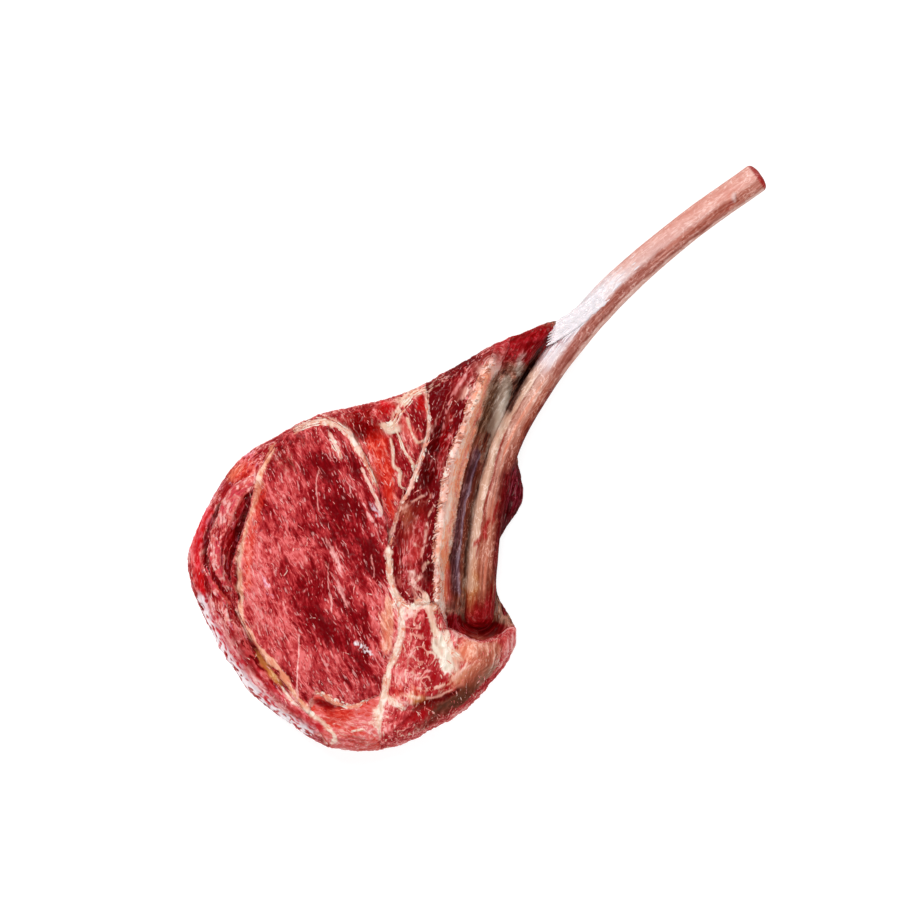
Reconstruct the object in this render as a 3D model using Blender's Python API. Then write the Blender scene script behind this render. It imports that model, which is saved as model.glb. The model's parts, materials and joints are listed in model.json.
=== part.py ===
"""A raw veal tomahawk steak: one rib chop with its long, scraped rib bone.

The steak lies on its lower cut face. +Z is up, +X runs along the bone to its free end, and the origin
lies under the middle of the whole. The plan is drawn once, as the rim and the seams between muscles.
Each muscle is the column of flesh that its seams close in: flat below, rounded at the rim and crowned
on top. The bone lies in a trough of the rib bed. Plan sizes are in millimetres.
"""

import math

import bmesh
import bpy
import numpy as np
from mathutils import Vector
from mathutils.geometry import delaunay_2d_cdt

MM = 0.001

# Heights
FACE = 29.0             # the cut face above the lower one
BED = 12.5              # the floor of the groove beside the bone
BED_BANK = 4.0          # how far that floor climbs to the fat ridge
BANK_REACH = 4.0        # over how wide a strip
PIT_DEPTH = 4.0         # how far the groove sinks at its closed end
PIT_REACH = 9.0         # over how long a stretch
TIP_HEIGHT = 25.0       # the pointed meat where the bone leaves
TIP_START = 8.0         # where along the bone it starts to rise
TIP_FULL = 30.0         # and where it is full height
TIP_BESIDE = (6.5, 10.0)        # its side towards the bone: foot and top, from the bone's middle line
CREVICE = 7.0           # the cleft between that meat and the bone
CREVICE_PLACE = (28.0, 14.0)    # its middle along the bone and its reach
CREVICE_BESIDE = (7.5, 2.2)     # its middle and reach beside the bone
FLAP_HEIGHT = 9.0       # the thin flap on the bone's other side
FLAP_BESIDE = (4.0, 9.0)        # where the bed falls to it, from the bone's middle line
RIDGE_LIFT = 1.5        # the fat ridge above the cut face
RIDGE_CREST = 0.15      # how much of the ridge's width its flat crest takes
RIDGE_TIP_BANK = 0.8    # how much of its bank is gone at the meat's tip
LOBE_LIFT = 2.0         # the rib lobe's climb to the ridge
LOBE_REACH = 8.0        # over how wide a strip

# The cap's folds beside the eye
CAP_SLOPE = 3.0         # the cap's fall to the rim
CAP_SLOPE_REACH = 16.0  # over how wide a strip
CAP_FOLD = 3.0          # the height of the fold
CAP_FOLDS = (           # across the cap: part of that height, then place and reach as parts of the width
    (-1.5, 0.1, 0.12),
    (1.0, 0.4, 0.13),
    (-0.8, 0.69, 0.1),
)
CAP_FOLD_LEAST = 0.3    # what is left of them at the cap's ends
CAP_FOLD_X = (-92.0, -104.0)    # from where to where they grow along X
CAP_FOLD_Y = (0.0, 14.0)        # and along Y

# How a muscle's top is crowned: how far its seams lie below the face, then the crown's lift and reach
CROWNS = {
    "eye_muscle": (1.5, 3.0, 6.0),
    "tail_muscle": (2.5, 2.0, 4.0),
    "wedge_muscle": (4.0, 2.0, 4.0),
    "rib_lobe": (1.5, 2.5, 5.0),
    "chine_meat": (2.0, 2.0, 5.0),
}

# Rounding of the rim
RIM_REACH = 6.0         # how far in from the rim the top starts to fall
RIM_DROP = 9.0          # how far it falls
CHINE_SLOPE = 1.5       # how much wider and deeper the fall is on the chine
BED_RIM = 0.5           # how much less it is round the rib bed
FOOT_REACH = 3.0        # the same for the lower edge
FOOT_RISE = 3.5

# Rib bone
BONE_WIDTH = 12.6
BONE_DEPTH = 10.0
BONE_ROOT_Z = 13.5      # its middle where it is buried
BONE_TIP_Z = 18.0       # and at its free end
BONE_BEND = 1.5         # how late along its length it rises
BONE_SWELL = (0.10, 0.36, 0.13) # how much wider it is where the sinew holds: part, place and reach
BONE_THIN = (0.08, 0.0, 0.2)    # how much shallower it is at its free end: part, place and reach
BONE_SQUARE = 0.85      # 1 is an ellipse, less is squarer
BONE_SIDES = 14
BONE_STEP = 5.0
SAWN_CROWN = 2.0        # how far the worn, sawn end stands out in the middle
SAWN_RINGS = ((1.0, 0.45), (0.6, 0.85))     # its rings: part of that crown, part of the width
ROOT_RINGS = ((0.2, 0.85), (0.38, 0.4))     # the buried root's: part of the depth, part of the width

# Mesh
GAP = 0.3               # between two neighbours
EDGE_STEP = 3.4         # between points along a seam
CELL = 3.7              # between points of the top
RIM_ROWS = (0.12, 0.45)         # rows beside the rim, as parts of RIM_REACH
BONE_ROWS = (4.5, 7.5, 10.5)    # rows beside the bone, as distances from its middle line

# Strips whose top is shaped across their width: their inner and outer border, and where rows run
ROWS_ACROSS = {
    "fat_ridge": (("ridge_top", "lobe_heel"), ("groove_top", "pit_left"), (0.25, 0.5, 0.75)),
    "cap_muscle": (("cap_top", "tail_left"), ("cap_top", "cap_tail"), (0.1, 0.25, 0.4, 0.55, 0.7)),
}

# Where seams meet the rim or each other
MEETINGS = {
    "cap_top": (-67, 66),
    "cap_tail": (-146.5, -42),
    "tail_foot": (-133, -57),
    "pit_right": (-56.5, -61.5),
    "tip": (48.5, 18),
    "groove_top": (30, 26.5),
    "ridge_top": (23.5, 29),
    "wedge_top": (-9.5, 38),
    "eye_top": (-51, 60.5),
    "tail_left": (-143, -25),
    "tail_right": (-115, -41),
    "lobe_foot": (-81.5, -14.5),
    "lobe_heel": (-71.5, -29.5),
    "fork": (-69.5, 0.5),
    "pit_left": (-77, -41),
}

# The rim, once round
RIM = (
    "cap_top", (-84, 70.5), (-99, 70), (-120, 64), (-136.5, 53.5), (-147, 31), (-154, 0), (-151, -27),
    "cap_tail", "tail_foot", (-115, -66), (-92, -71), (-68, -69), "pit_right", (-51, -46), (-36, -31.5),
    (-16, -26), (-6, -14), (3, -1.5), (25, 7.5), (43, 15), "tip", (45, 20), "groove_top", "ridge_top",
    (5.5, 34),
    "wedge_top", (-25.5, 45), "eye_top",
)

# The seams, each from one meeting to another
SEAMS = (
    ("cap_top", (-86, 61), (-101, 52), (-119.5, 42.5), (-131, 30), (-138.5, 9), (-141, -11), "tail_left"),
    ("cap_tail", "tail_left"),
    ("tail_left", (-134, -20.5), (-131, -32), "tail_right"),
    ("tail_right", "tail_foot"),
    ("eye_top", (-47, 48), (-51.5, 29.5), (-62.5, 10), "fork"),
    ("fork", (-75, -5), "lobe_foot"),
    ("lobe_foot", (-90, -26), (-108, -36), "tail_right"),
    ("wedge_top", (-19.5, 26.5), (-33, 18), (-51, 10.5), "fork"),
    ("lobe_foot", (-80, -23), "lobe_heel"),
    ("ridge_top", (2.5, 19.5), (-28, 7.5), (-53, -12), "lobe_heel"),
    ("lobe_heel", "pit_left"),
    ("groove_top", (-1.5, 13.5), (-30, -2.5), (-50, -17.5), (-62, -24), "pit_left"),
    ("pit_left", (-70, -56), "pit_right"),
)

# The ring of meetings round each muscle
MUSCLES = {
    "eye_muscle": ("cap_top", "tail_left", "tail_right", "lobe_foot", "fork", "eye_top"),
    "cap_muscle": ("cap_top", "cap_tail", "tail_left"),
    "tail_muscle": ("tail_left", "cap_tail", "tail_foot", "tail_right"),
    "wedge_muscle": ("eye_top", "fork", "wedge_top"),
    "rib_lobe": ("wedge_top", "fork", "lobe_foot", "lobe_heel", "ridge_top"),
    "fat_ridge": ("ridge_top", "lobe_heel", "pit_left", "groove_top"),
    "chine_meat": ("lobe_foot", "tail_right", "tail_foot", "pit_right", "pit_left", "lobe_heel"),
    "rib_bed": ("groove_top", "pit_left", "pit_right", "tip"),
}

# The bone's middle line in plan, from its free end inwards
BONE_LINE = ((151.5, 1.1), (115, 7), (80, 9.8), (50, 8.4), (18, 2.8), (-8, -6), (-35, -23.5), (-64, -48))

FLESH = {
    "eye_muscle": (0.42, 0.020, 0.030),
    "cap_muscle": (0.55, 0.060, 0.070),
    "tail_muscle": (0.50, 0.070, 0.060),
    "wedge_muscle": (0.62, 0.070, 0.040),
    "rib_lobe": (0.40, 0.040, 0.030),
    "fat_ridge": (0.80, 0.480, 0.360),
    "chine_meat": (0.48, 0.120, 0.090),
    "rib_bed": (0.25, 0.110, 0.100),
}
BONE_COLOUR = (0.62, 0.33, 0.25)


def clear_scene():
    for thing in list(bpy.data.objects):
        bpy.data.objects.remove(thing, do_unlink=True)


def blend(low, high, value):
    """0 below low, 1 above high, and smooth between."""
    part = np.clip((value - low) / (high - low), 0.0, 1.0)
    return part * part * (3.0 - 2.0 * part)


def spaced(points, step):
    """Points at equal steps of about this length along a line of points."""
    run = np.concatenate([[0.0], np.cumsum(np.linalg.norm(np.diff(points, axis=0), axis=1))])
    count = max(2, round(run[-1] / step) + 1)
    at = np.linspace(0.0, run[-1], count)
    return np.column_stack([np.interp(at, run, column) for column in points.T])


def smooth_line(points, closed=False, fine=24):
    """The Catmull-Rom curve through the points, with the place of each point along it."""
    points = np.array(points, float)
    if closed:
        ends = points[-1:], points[:2]
    else:
        ends = 2 * points[:1] - points[1:2], 2 * points[-1:] - points[-2:-1]
    way = np.concatenate([ends[0], points, ends[1]])
    t = np.linspace(0.0, 1.0, fine, endpoint=False)[:, None]
    spans = []
    for a, b, c, d in zip(way, way[1:], way[2:], way[3:]):
        bend = 2 * b + (c - a) * t + (2 * a - 5 * b + 4 * c - d) * t**2 + (3 * b - a - 3 * c + d) * t**3
        spans.append(0.5 * bend)
    curve = np.concatenate(spans + [points[:1] if closed else points[-1:]])
    return curve, [i * fine for i in range(len(points) + closed)]


def place(item):
    return MEETINGS[item] if isinstance(item, str) else item


def find_borders():
    """Each stretch of rim or seam as a line of points, by the two meetings that it joins."""
    borders = {}
    curve, stops = smooth_line([place(item) for item in RIM], closed=True)
    round_rim = RIM + RIM[:1]
    named = [(item, stops[i]) for i, item in enumerate(round_rim) if isinstance(item, str)]
    for (start, first), (end, last) in zip(named, named[1:]):
        borders[start, end] = spaced(curve[first:last + 1], EDGE_STEP)
    for seam in SEAMS:
        curve, _ = smooth_line([place(item) for item in seam])
        borders[seam[0], seam[-1]] = spaced(curve, EDGE_STEP)
    return borders


def border(borders, start, end):
    return borders[start, end] if (start, end) in borders else borders[end, start][::-1]


def ring_of(borders, meetings):
    """The closed outline through the meetings, anticlockwise."""
    ends = meetings[1:] + meetings[:1]
    ring = np.concatenate([border(borders, a, b)[:-1] for a, b in zip(meetings, ends)])
    x, y = ring.T
    area = np.sum(x * np.roll(y, -1) - y * np.roll(x, -1))
    return ring if area > 0 else ring[::-1]


def inset(ring, by):
    """The outline drawn in by this much, with the sharpest corners kept from running far in."""
    along = np.roll(ring, -1, axis=0) - ring
    normal = np.column_stack([-along[:, 1], along[:, 0]]) / np.linalg.norm(along, axis=1)[:, None]
    before = np.roll(normal, 1, axis=0)
    both = normal + before
    return ring + by * both / np.maximum(0.5, 1.0 + np.sum(normal * before, axis=1))[:, None]


def distance(points, line):
    """How far each point lies from a line of points."""
    best = np.full(len(points), np.inf)
    for a, b in zip(line, line[1:]):
        along = b - a
        part = np.clip((points - a) @ along / (along @ along), 0.0, 1.0)
        away = points - a - part[:, None] * along
        best = np.minimum(best, np.hypot(away[:, 0], away[:, 1]))
    return best


def inside(points, ring):
    x, y = points.T
    within = np.zeros(len(points), bool)
    for (ax, ay), (bx, by) in zip(ring, np.roll(ring, -1, axis=0)):
        crosses = (ay > y) != (by > y)
        within ^= crosses & (x < ax + (bx - ax) * (y - ay) / (by - ay if by != ay else 1.0))
    return within


def closed_line(ring):
    return np.concatenate([ring, ring[:1]])


def fall(away, reach, drop):
    """A quarter ellipse: the whole drop at the edge, nothing past the reach."""
    part = np.clip(1.0 - away / reach, 0.0, 1.0)
    return drop * (1.0 - np.sqrt(1.0 - part**2))


def bump(away, middle, reach):
    return np.exp(-((away - middle) / reach) ** 2)


class Plan:
    """The drawn plan: its borders, its outline and the bone's line."""

    def __init__(self):
        self.borders = find_borders()
        rim_names = tuple(item for item in RIM if isinstance(item, str))
        self.rim = closed_line(ring_of(self.borders, rim_names))
        self.bone = smooth_line(BONE_LINE)[0]

    def line(self, start, end):
        return border(self.borders, start, end)


def beside_bone(plan, points):
    """Distance from the bone's middle line, positive on its inner side."""
    away = distance(points, plan.bone)
    line_y = np.interp(points[:, 0], plan.bone[::-1, 0], plan.bone[::-1, 1])
    return np.where(points[:, 1] > line_y, away, -away)


def crowned_top(name, plan, points, ring):
    """A muscle that swells away from its seams; the rib lobe also climbs to the ridge."""
    below, lift, reach = CROWNS[name]
    top = FACE - below + lift * (1.0 - np.exp(-distance(points, closed_line(ring)) / reach))
    if name == "rib_lobe":
        top += LOBE_LIFT * np.exp(-distance(points, plan.line("ridge_top", "lobe_heel")) / LOBE_REACH)
    wider = CHINE_SLOPE if name == "chine_meat" else 1.0
    return top - fall(distance(points, plan.rim), wider * RIM_REACH, wider * RIM_DROP)


def cap_top(plan, points):
    """The cap: a cleft beside the eye, a fold, a second cleft and a rounded outer roll."""
    from_rim = distance(points, plan.rim)
    from_eye = distance(points, plan.line("cap_top", "tail_left"))
    across = from_eye / (from_eye + from_rim)
    fold = sum(part * bump(across, middle, reach) for part, middle, reach in CAP_FOLDS)
    grown = blend(*CAP_FOLD_X, points[:, 0]) * blend(*CAP_FOLD_Y, points[:, 1])
    folded = CAP_FOLD_LEAST + (1.0 - CAP_FOLD_LEAST) * grown
    slope = CAP_SLOPE * (1.0 - blend(0.0, CAP_SLOPE_REACH, from_rim))
    return FACE - RIDGE_LIFT - slope + CAP_FOLD * folded * fold - fall(from_rim, RIM_REACH, RIM_DROP)


def towards_tip(points):
    return blend(TIP_START, TIP_FULL, points[:, 0])


def ridge_top(plan, points):
    """The fat ridge: highest at the rib lobe, with a steep bank down to the groove."""
    inner = distance(points, plan.line("ridge_top", "lobe_heel"))
    outer = distance(points, plan.line("groove_top", "pit_left"))
    bank = (FACE - BED - BED_BANK) * (1.0 - RIDGE_TIP_BANK * towards_tip(points))
    rim_fall = fall(distance(points, plan.rim), RIM_REACH, RIM_DROP)
    return FACE + RIDGE_LIFT - bank * blend(RIDGE_CREST, 1.0, inner / (inner + outer)) - rim_fall


def bed_top(plan, points):
    """The groove that holds the bone, with its pit, the meat's tip and cleft, and the low flap."""
    beside = beside_bone(plan, points)
    outer = distance(points, plan.line("groove_top", "pit_left"))
    pit = PIT_DEPTH * np.exp(-distance(points, plan.line("pit_left", "pit_right")) / PIT_REACH)
    top = BED - pit + BED_BANK * np.exp(-outer / BANK_REACH)
    meat_tip = towards_tip(points) * blend(*TIP_BESIDE, beside)
    top += meat_tip * (TIP_HEIGHT - top)
    top -= CREVICE * bump(points[:, 0], *CREVICE_PLACE) * bump(beside, *CREVICE_BESIDE)
    top += blend(*FLAP_BESIDE, -beside) * (FLAP_HEIGHT - top)
    return top - fall(distance(points, plan.rim), BED_RIM * RIM_REACH, BED_RIM * RIM_DROP)


def muscle_top(name, plan, points, ring):
    """The height of a muscle's top at each point of the plan."""
    if name in CROWNS:
        return crowned_top(name, plan, points, ring)
    shapes = {"cap_muscle": cap_top, "fat_ridge": ridge_top, "rib_bed": bed_top}
    return shapes[name](plan, points)


def evenly(line, count):
    run = np.linspace(0.0, 1.0, len(line))
    return np.column_stack([np.interp(np.linspace(0.0, 1.0, count), run, column) for column in line.T])


def rows_between(one, other, parts):
    """Rows that share out the strip between two lines running the same way."""
    count = max(len(one), len(other))
    one, other = evenly(one, count), evenly(other, count)
    return np.concatenate([one + part * (other - one) for part in parts])


def rows_beside(line, aways):
    """Rows on both sides of a line, this far away from it."""
    line = spaced(line, EDGE_STEP)
    along = np.gradient(line, axis=0)
    normal = np.column_stack([-along[:, 1], along[:, 0]]) / np.linalg.norm(along, axis=1)[:, None]
    return np.concatenate([line + side * away * normal for away in aways for side in (-1, 1)])


def even_spread(ring):
    x0, y0 = ring.min(axis=0)
    x1, y1 = ring.max(axis=0)
    spread = []
    for j, y in enumerate(np.arange(y0, y1, CELL * math.sqrt(0.75))):
        spread += [(x + 0.5 * CELL * (j % 2), y) for x in np.arange(x0, x1, CELL)]
    return np.array(spread)


def points_of(name, plan, ring):
    """The outline's points, rows that follow what shapes the top, and an even spread over the rest."""
    rows = [inset(plan.rim[:-1], RIM_REACH * part) for part in RIM_ROWS]
    spread = even_spread(ring)
    if name in ROWS_ACROSS:
        inner, outer, parts = ROWS_ACROSS[name]
        spread = rows_between(plan.line(*inner), plan.line(*outer), parts)
    if name == "rib_bed":
        rows.append(rows_beside(plan.bone, BONE_ROWS))
        spread = spread[distance(spread, plan.bone) > max(BONE_ROWS) + 0.6 * CELL]
    spread = spread[distance(spread, plan.rim) > RIM_REACH * max(RIM_ROWS) + 0.6 * CELL]
    spread = np.concatenate(rows + [spread])
    clear = 2.0 * GAP if name in ROWS_ACROSS else 0.3 * CELL
    near_rim = distance(spread, plan.rim) < RIM_REACH
    from_ring = distance(spread, closed_line(ring))
    keep = inside(spread, ring) & (from_ring > np.where(near_rim, 2.0 * GAP, clear))
    return np.concatenate([ring, spread[keep]])


def new_object(name, mesh, colour):
    material = bpy.data.materials.new(name)
    material.use_nodes = True
    shader = material.node_tree.nodes["Principled BSDF"]
    shader.inputs["Base Color"].default_value = (*colour, 1.0)
    shader.inputs["Roughness"].default_value = 0.35
    shader.inputs["Metallic"].default_value = 0.0
    mesh.materials.append(material)
    mesh.shade_smooth()
    thing = bpy.data.objects.new(name, mesh)
    bpy.context.scene.collection.objects.link(thing)
    return thing


def make_muscle(name, plan):
    """A closed column of flesh: its top and foot share one plan, joined by an upright wall."""
    ring = inset(ring_of(plan.borders, MUSCLES[name]), 0.5 * GAP)
    count = len(ring)
    wanted = [Vector(point) for point in points_of(name, plan, ring)]
    flat, _, faces, *_ = delaunay_2d_cdt(wanted, [], [list(range(count))], 1, 1e-6)
    points = np.array([(v.x, v.y) for v in flat])
    heights = muscle_top(name, plan, points, ring)
    feet = fall(distance(points, plan.rim), FOOT_REACH, FOOT_RISE)
    bm = bmesh.new()
    top = [bm.verts.new((x * MM, y * MM, z * MM)) for (x, y), z in zip(points, heights)]
    foot = [bm.verts.new((x * MM, y * MM, z * MM)) for (x, y), z in zip(points, feet)]
    for face in faces:
        bm.faces.new([top[i] for i in face])
        bm.faces.new([foot[i] for i in reversed(face)])
    rims = [edge for edge in bm.edges if edge.is_boundary]
    bmesh.ops.bridge_loops(bm, edges=rims)
    bmesh.ops.triangulate(bm, faces=bm.faces)
    bmesh.ops.recalc_face_normals(bm, faces=bm.faces)
    mesh = bpy.data.meshes.new(name)
    bm.to_mesh(mesh)
    bm.free()
    return new_object(name, mesh, FLESH[name])


def bone_ring(part):
    """The bone's half width, half depth and middle height, this part of its length from the free end."""
    swell, swell_place, swell_reach = BONE_SWELL
    thin, thin_place, thin_reach = BONE_THIN
    width = 0.5 * BONE_WIDTH * (1.0 + swell * bump(part, swell_place, swell_reach))
    depth = 0.5 * BONE_DEPTH * (1.0 - thin * bump(part, thin_place, thin_reach))
    return width, depth, BONE_TIP_Z + (BONE_ROOT_Z - BONE_TIP_Z) * part**BONE_BEND


def superellipse(turn):
    """A point on a round that is a little squared."""
    round_point = math.cos(turn), math.sin(turn)
    return [math.copysign(abs(value) ** BONE_SQUARE, value) for value in round_point]


def make_bone(name, plan, more=0.0):
    """The rib: rings across its middle line, a worn sawn end and a rounded root."""
    line = spaced(plan.bone, BONE_STEP)
    ways = np.gradient(line, axis=0)
    ways /= np.linalg.norm(ways, axis=1)[:, None]
    stations = []
    for out, size in SAWN_RINGS:
        stations.append((0.0, line[0] - SAWN_CROWN * out * ways[0], ways[0], size))
    for i, (point, way) in enumerate(zip(line, ways)):
        stations.append((i / (len(line) - 1), point, way, 1.0))
    for out, size in ROOT_RINGS:
        stations.append((1.0, line[-1] + BONE_DEPTH * out * ways[-1], ways[-1], size))
    bm = bmesh.new()
    rings = []
    for part, (x, y), (along_x, along_y), size in stations:
        width, depth, z = bone_ring(part)
        ring = []
        for k in range(BONE_SIDES):
            across, up = superellipse(2 * math.pi * k / BONE_SIDES)
            across *= width * size + more
            up *= depth * size + more
            corner = Vector((x + along_y * across, y - along_x * across, z + up))
            ring.append(bm.verts.new(corner * MM))
        rings.append(ring)
    for one, other in zip(rings, rings[1:]):
        for k in range(BONE_SIDES):
            after = (k + 1) % BONE_SIDES
            bm.faces.new((one[k], one[after], other[after], other[k]))
    bm.faces.new(rings[0])
    bm.faces.new(rings[-1])
    bmesh.ops.triangulate(bm, faces=bm.faces)
    bmesh.ops.recalc_face_normals(bm, faces=bm.faces)
    mesh = bpy.data.meshes.new(name)
    bm.to_mesh(mesh)
    bm.free()
    return new_object(name, mesh, BONE_COLOUR)


def cut(thing, cutter):
    trough = thing.modifiers.new("trough", "BOOLEAN")
    trough.operation = "DIFFERENCE"
    trough.object = cutter
    trough.solver = "EXACT"


def main():
    clear_scene()
    plan = Plan()
    muscles = {name: make_muscle(name, plan) for name in MUSCLES}
    make_bone("rib_bone", plan)
    clearance = make_bone("bone_clearance", plan, more=GAP)
    clearance.hide_render = True
    clearance.display_type = "WIRE"
    for name in ("rib_bed", "chine_meat", "fat_ridge"):
        cut(muscles[name], clearance)


main()
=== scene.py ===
import json
import math

import bmesh
import bpy
import numpy as np
from bpy.props import FloatProperty, FloatVectorProperty, PointerProperty
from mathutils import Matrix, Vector
from mathutils.bvhtree import BVHTree

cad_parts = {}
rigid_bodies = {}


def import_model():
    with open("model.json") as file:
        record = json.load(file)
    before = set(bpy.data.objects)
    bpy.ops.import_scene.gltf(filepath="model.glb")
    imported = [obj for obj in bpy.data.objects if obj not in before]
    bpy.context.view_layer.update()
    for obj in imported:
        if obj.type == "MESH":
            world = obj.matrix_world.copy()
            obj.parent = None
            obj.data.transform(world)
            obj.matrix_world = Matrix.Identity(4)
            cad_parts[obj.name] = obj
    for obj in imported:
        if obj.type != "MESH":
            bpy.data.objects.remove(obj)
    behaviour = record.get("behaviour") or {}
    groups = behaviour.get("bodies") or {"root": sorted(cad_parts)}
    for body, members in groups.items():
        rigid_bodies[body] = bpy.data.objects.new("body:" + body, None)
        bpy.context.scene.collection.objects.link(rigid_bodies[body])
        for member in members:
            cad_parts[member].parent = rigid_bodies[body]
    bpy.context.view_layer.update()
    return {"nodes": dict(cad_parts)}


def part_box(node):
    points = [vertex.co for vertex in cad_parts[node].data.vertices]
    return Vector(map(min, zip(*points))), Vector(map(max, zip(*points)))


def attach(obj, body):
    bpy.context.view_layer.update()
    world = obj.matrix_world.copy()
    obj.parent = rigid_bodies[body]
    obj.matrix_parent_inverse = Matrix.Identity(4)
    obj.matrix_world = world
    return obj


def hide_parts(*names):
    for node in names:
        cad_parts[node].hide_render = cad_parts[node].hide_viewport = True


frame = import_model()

bl_info = {
    "name": "Veal tomahawk steak",
    "version": (1, 0, 0),
    "blender": (4, 5, 0),
    "location": "3D View > Sidebar > Steak",
    "description": "Dresses the solids of a raw veal tomahawk steak in flesh, fat, membrane and bone",
    "category": "Object",
}

MM = 0.001
ROOT = "root"
COARSE = 1.0
LIGHT_GAIN = 1.36  # how much brighter than its own colour a flat, lit surface looks in this studio
PALEST = 0.92  # the brightest that a laid colour may be

PALETTE = {
    "night": "6A101C", "maroon": "6E060C", "wine": "8A0A12", "blood": "A00E14", "brick": "9A302A",
    "red": "B02A30", "scarlet": "D2161E", "crimson": "D83A48", "rose": "CE4848", "coral": "E46A64",
    "pink": "EC7474", "blush": "FBB4B0", "net fat": "F6AEA2", "vermilion": "DA3E30", "orange": "E8422E",
    "salmon": "F0967A", "apricot": "F0AC90", "rosy fat": "FAC8BA", "ivory": "F9D6C2", "cream": "FCECDC",
    "mauve": "B05A7C", "lilac": "F0A0B4", "pale lilac": "FFF2F6", "tan": "D6AE98", "ochre": "D8945C",
    "clay": "C4745E", "brown": "84402F", "umber": "4A2018", "taupe": "8C6A58", "silver": "BAA292",
    "pearl": "E4D6CA", "plum": "6A4048", "plum grey": "A08698", "sinew": "F2E8EC", "sinew grey": "C4BCC8",
    "ridge orange": "FF9E78", "bone pink": "F0CCC6", "bone rose": "EAA494", "bone clay": "A44E3A",
    "rib tan": "CE9684", "bark": "74503C", "rind": "FAB294",
}

# Patches with these names don't cover: they make the flesh under them deeper or paler.
TONE_SHIFT = {"deeper": -0.32, "paler": 0.28}

# Lines over the cut face, in millimetres from the middle of the steak's box.
RIB = ((151.5, 1), (115, 7), (80, 10), (50, 8.5), (18, 3), (-8, -6), (-35, -23.5), (-64, -48))
CAP_RUN = ((-68, 67), (-88, 65), (-108, 58), (-124, 48), (-136, 34), (-143, 18), (-146, 0), (-147, -20),
           (-146, -42))
CREST = ((16, 23.5), (7.5, 21), (-5.5, 15.5), (-14, 11.5), (-23, 7.5), (-32.5, 1.5), (-40, -4), (-49, -10),
         (-55.5, -15), (-62.5, -23.5), (-69.5, -30.5), (-73.5, -34.5))

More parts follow.
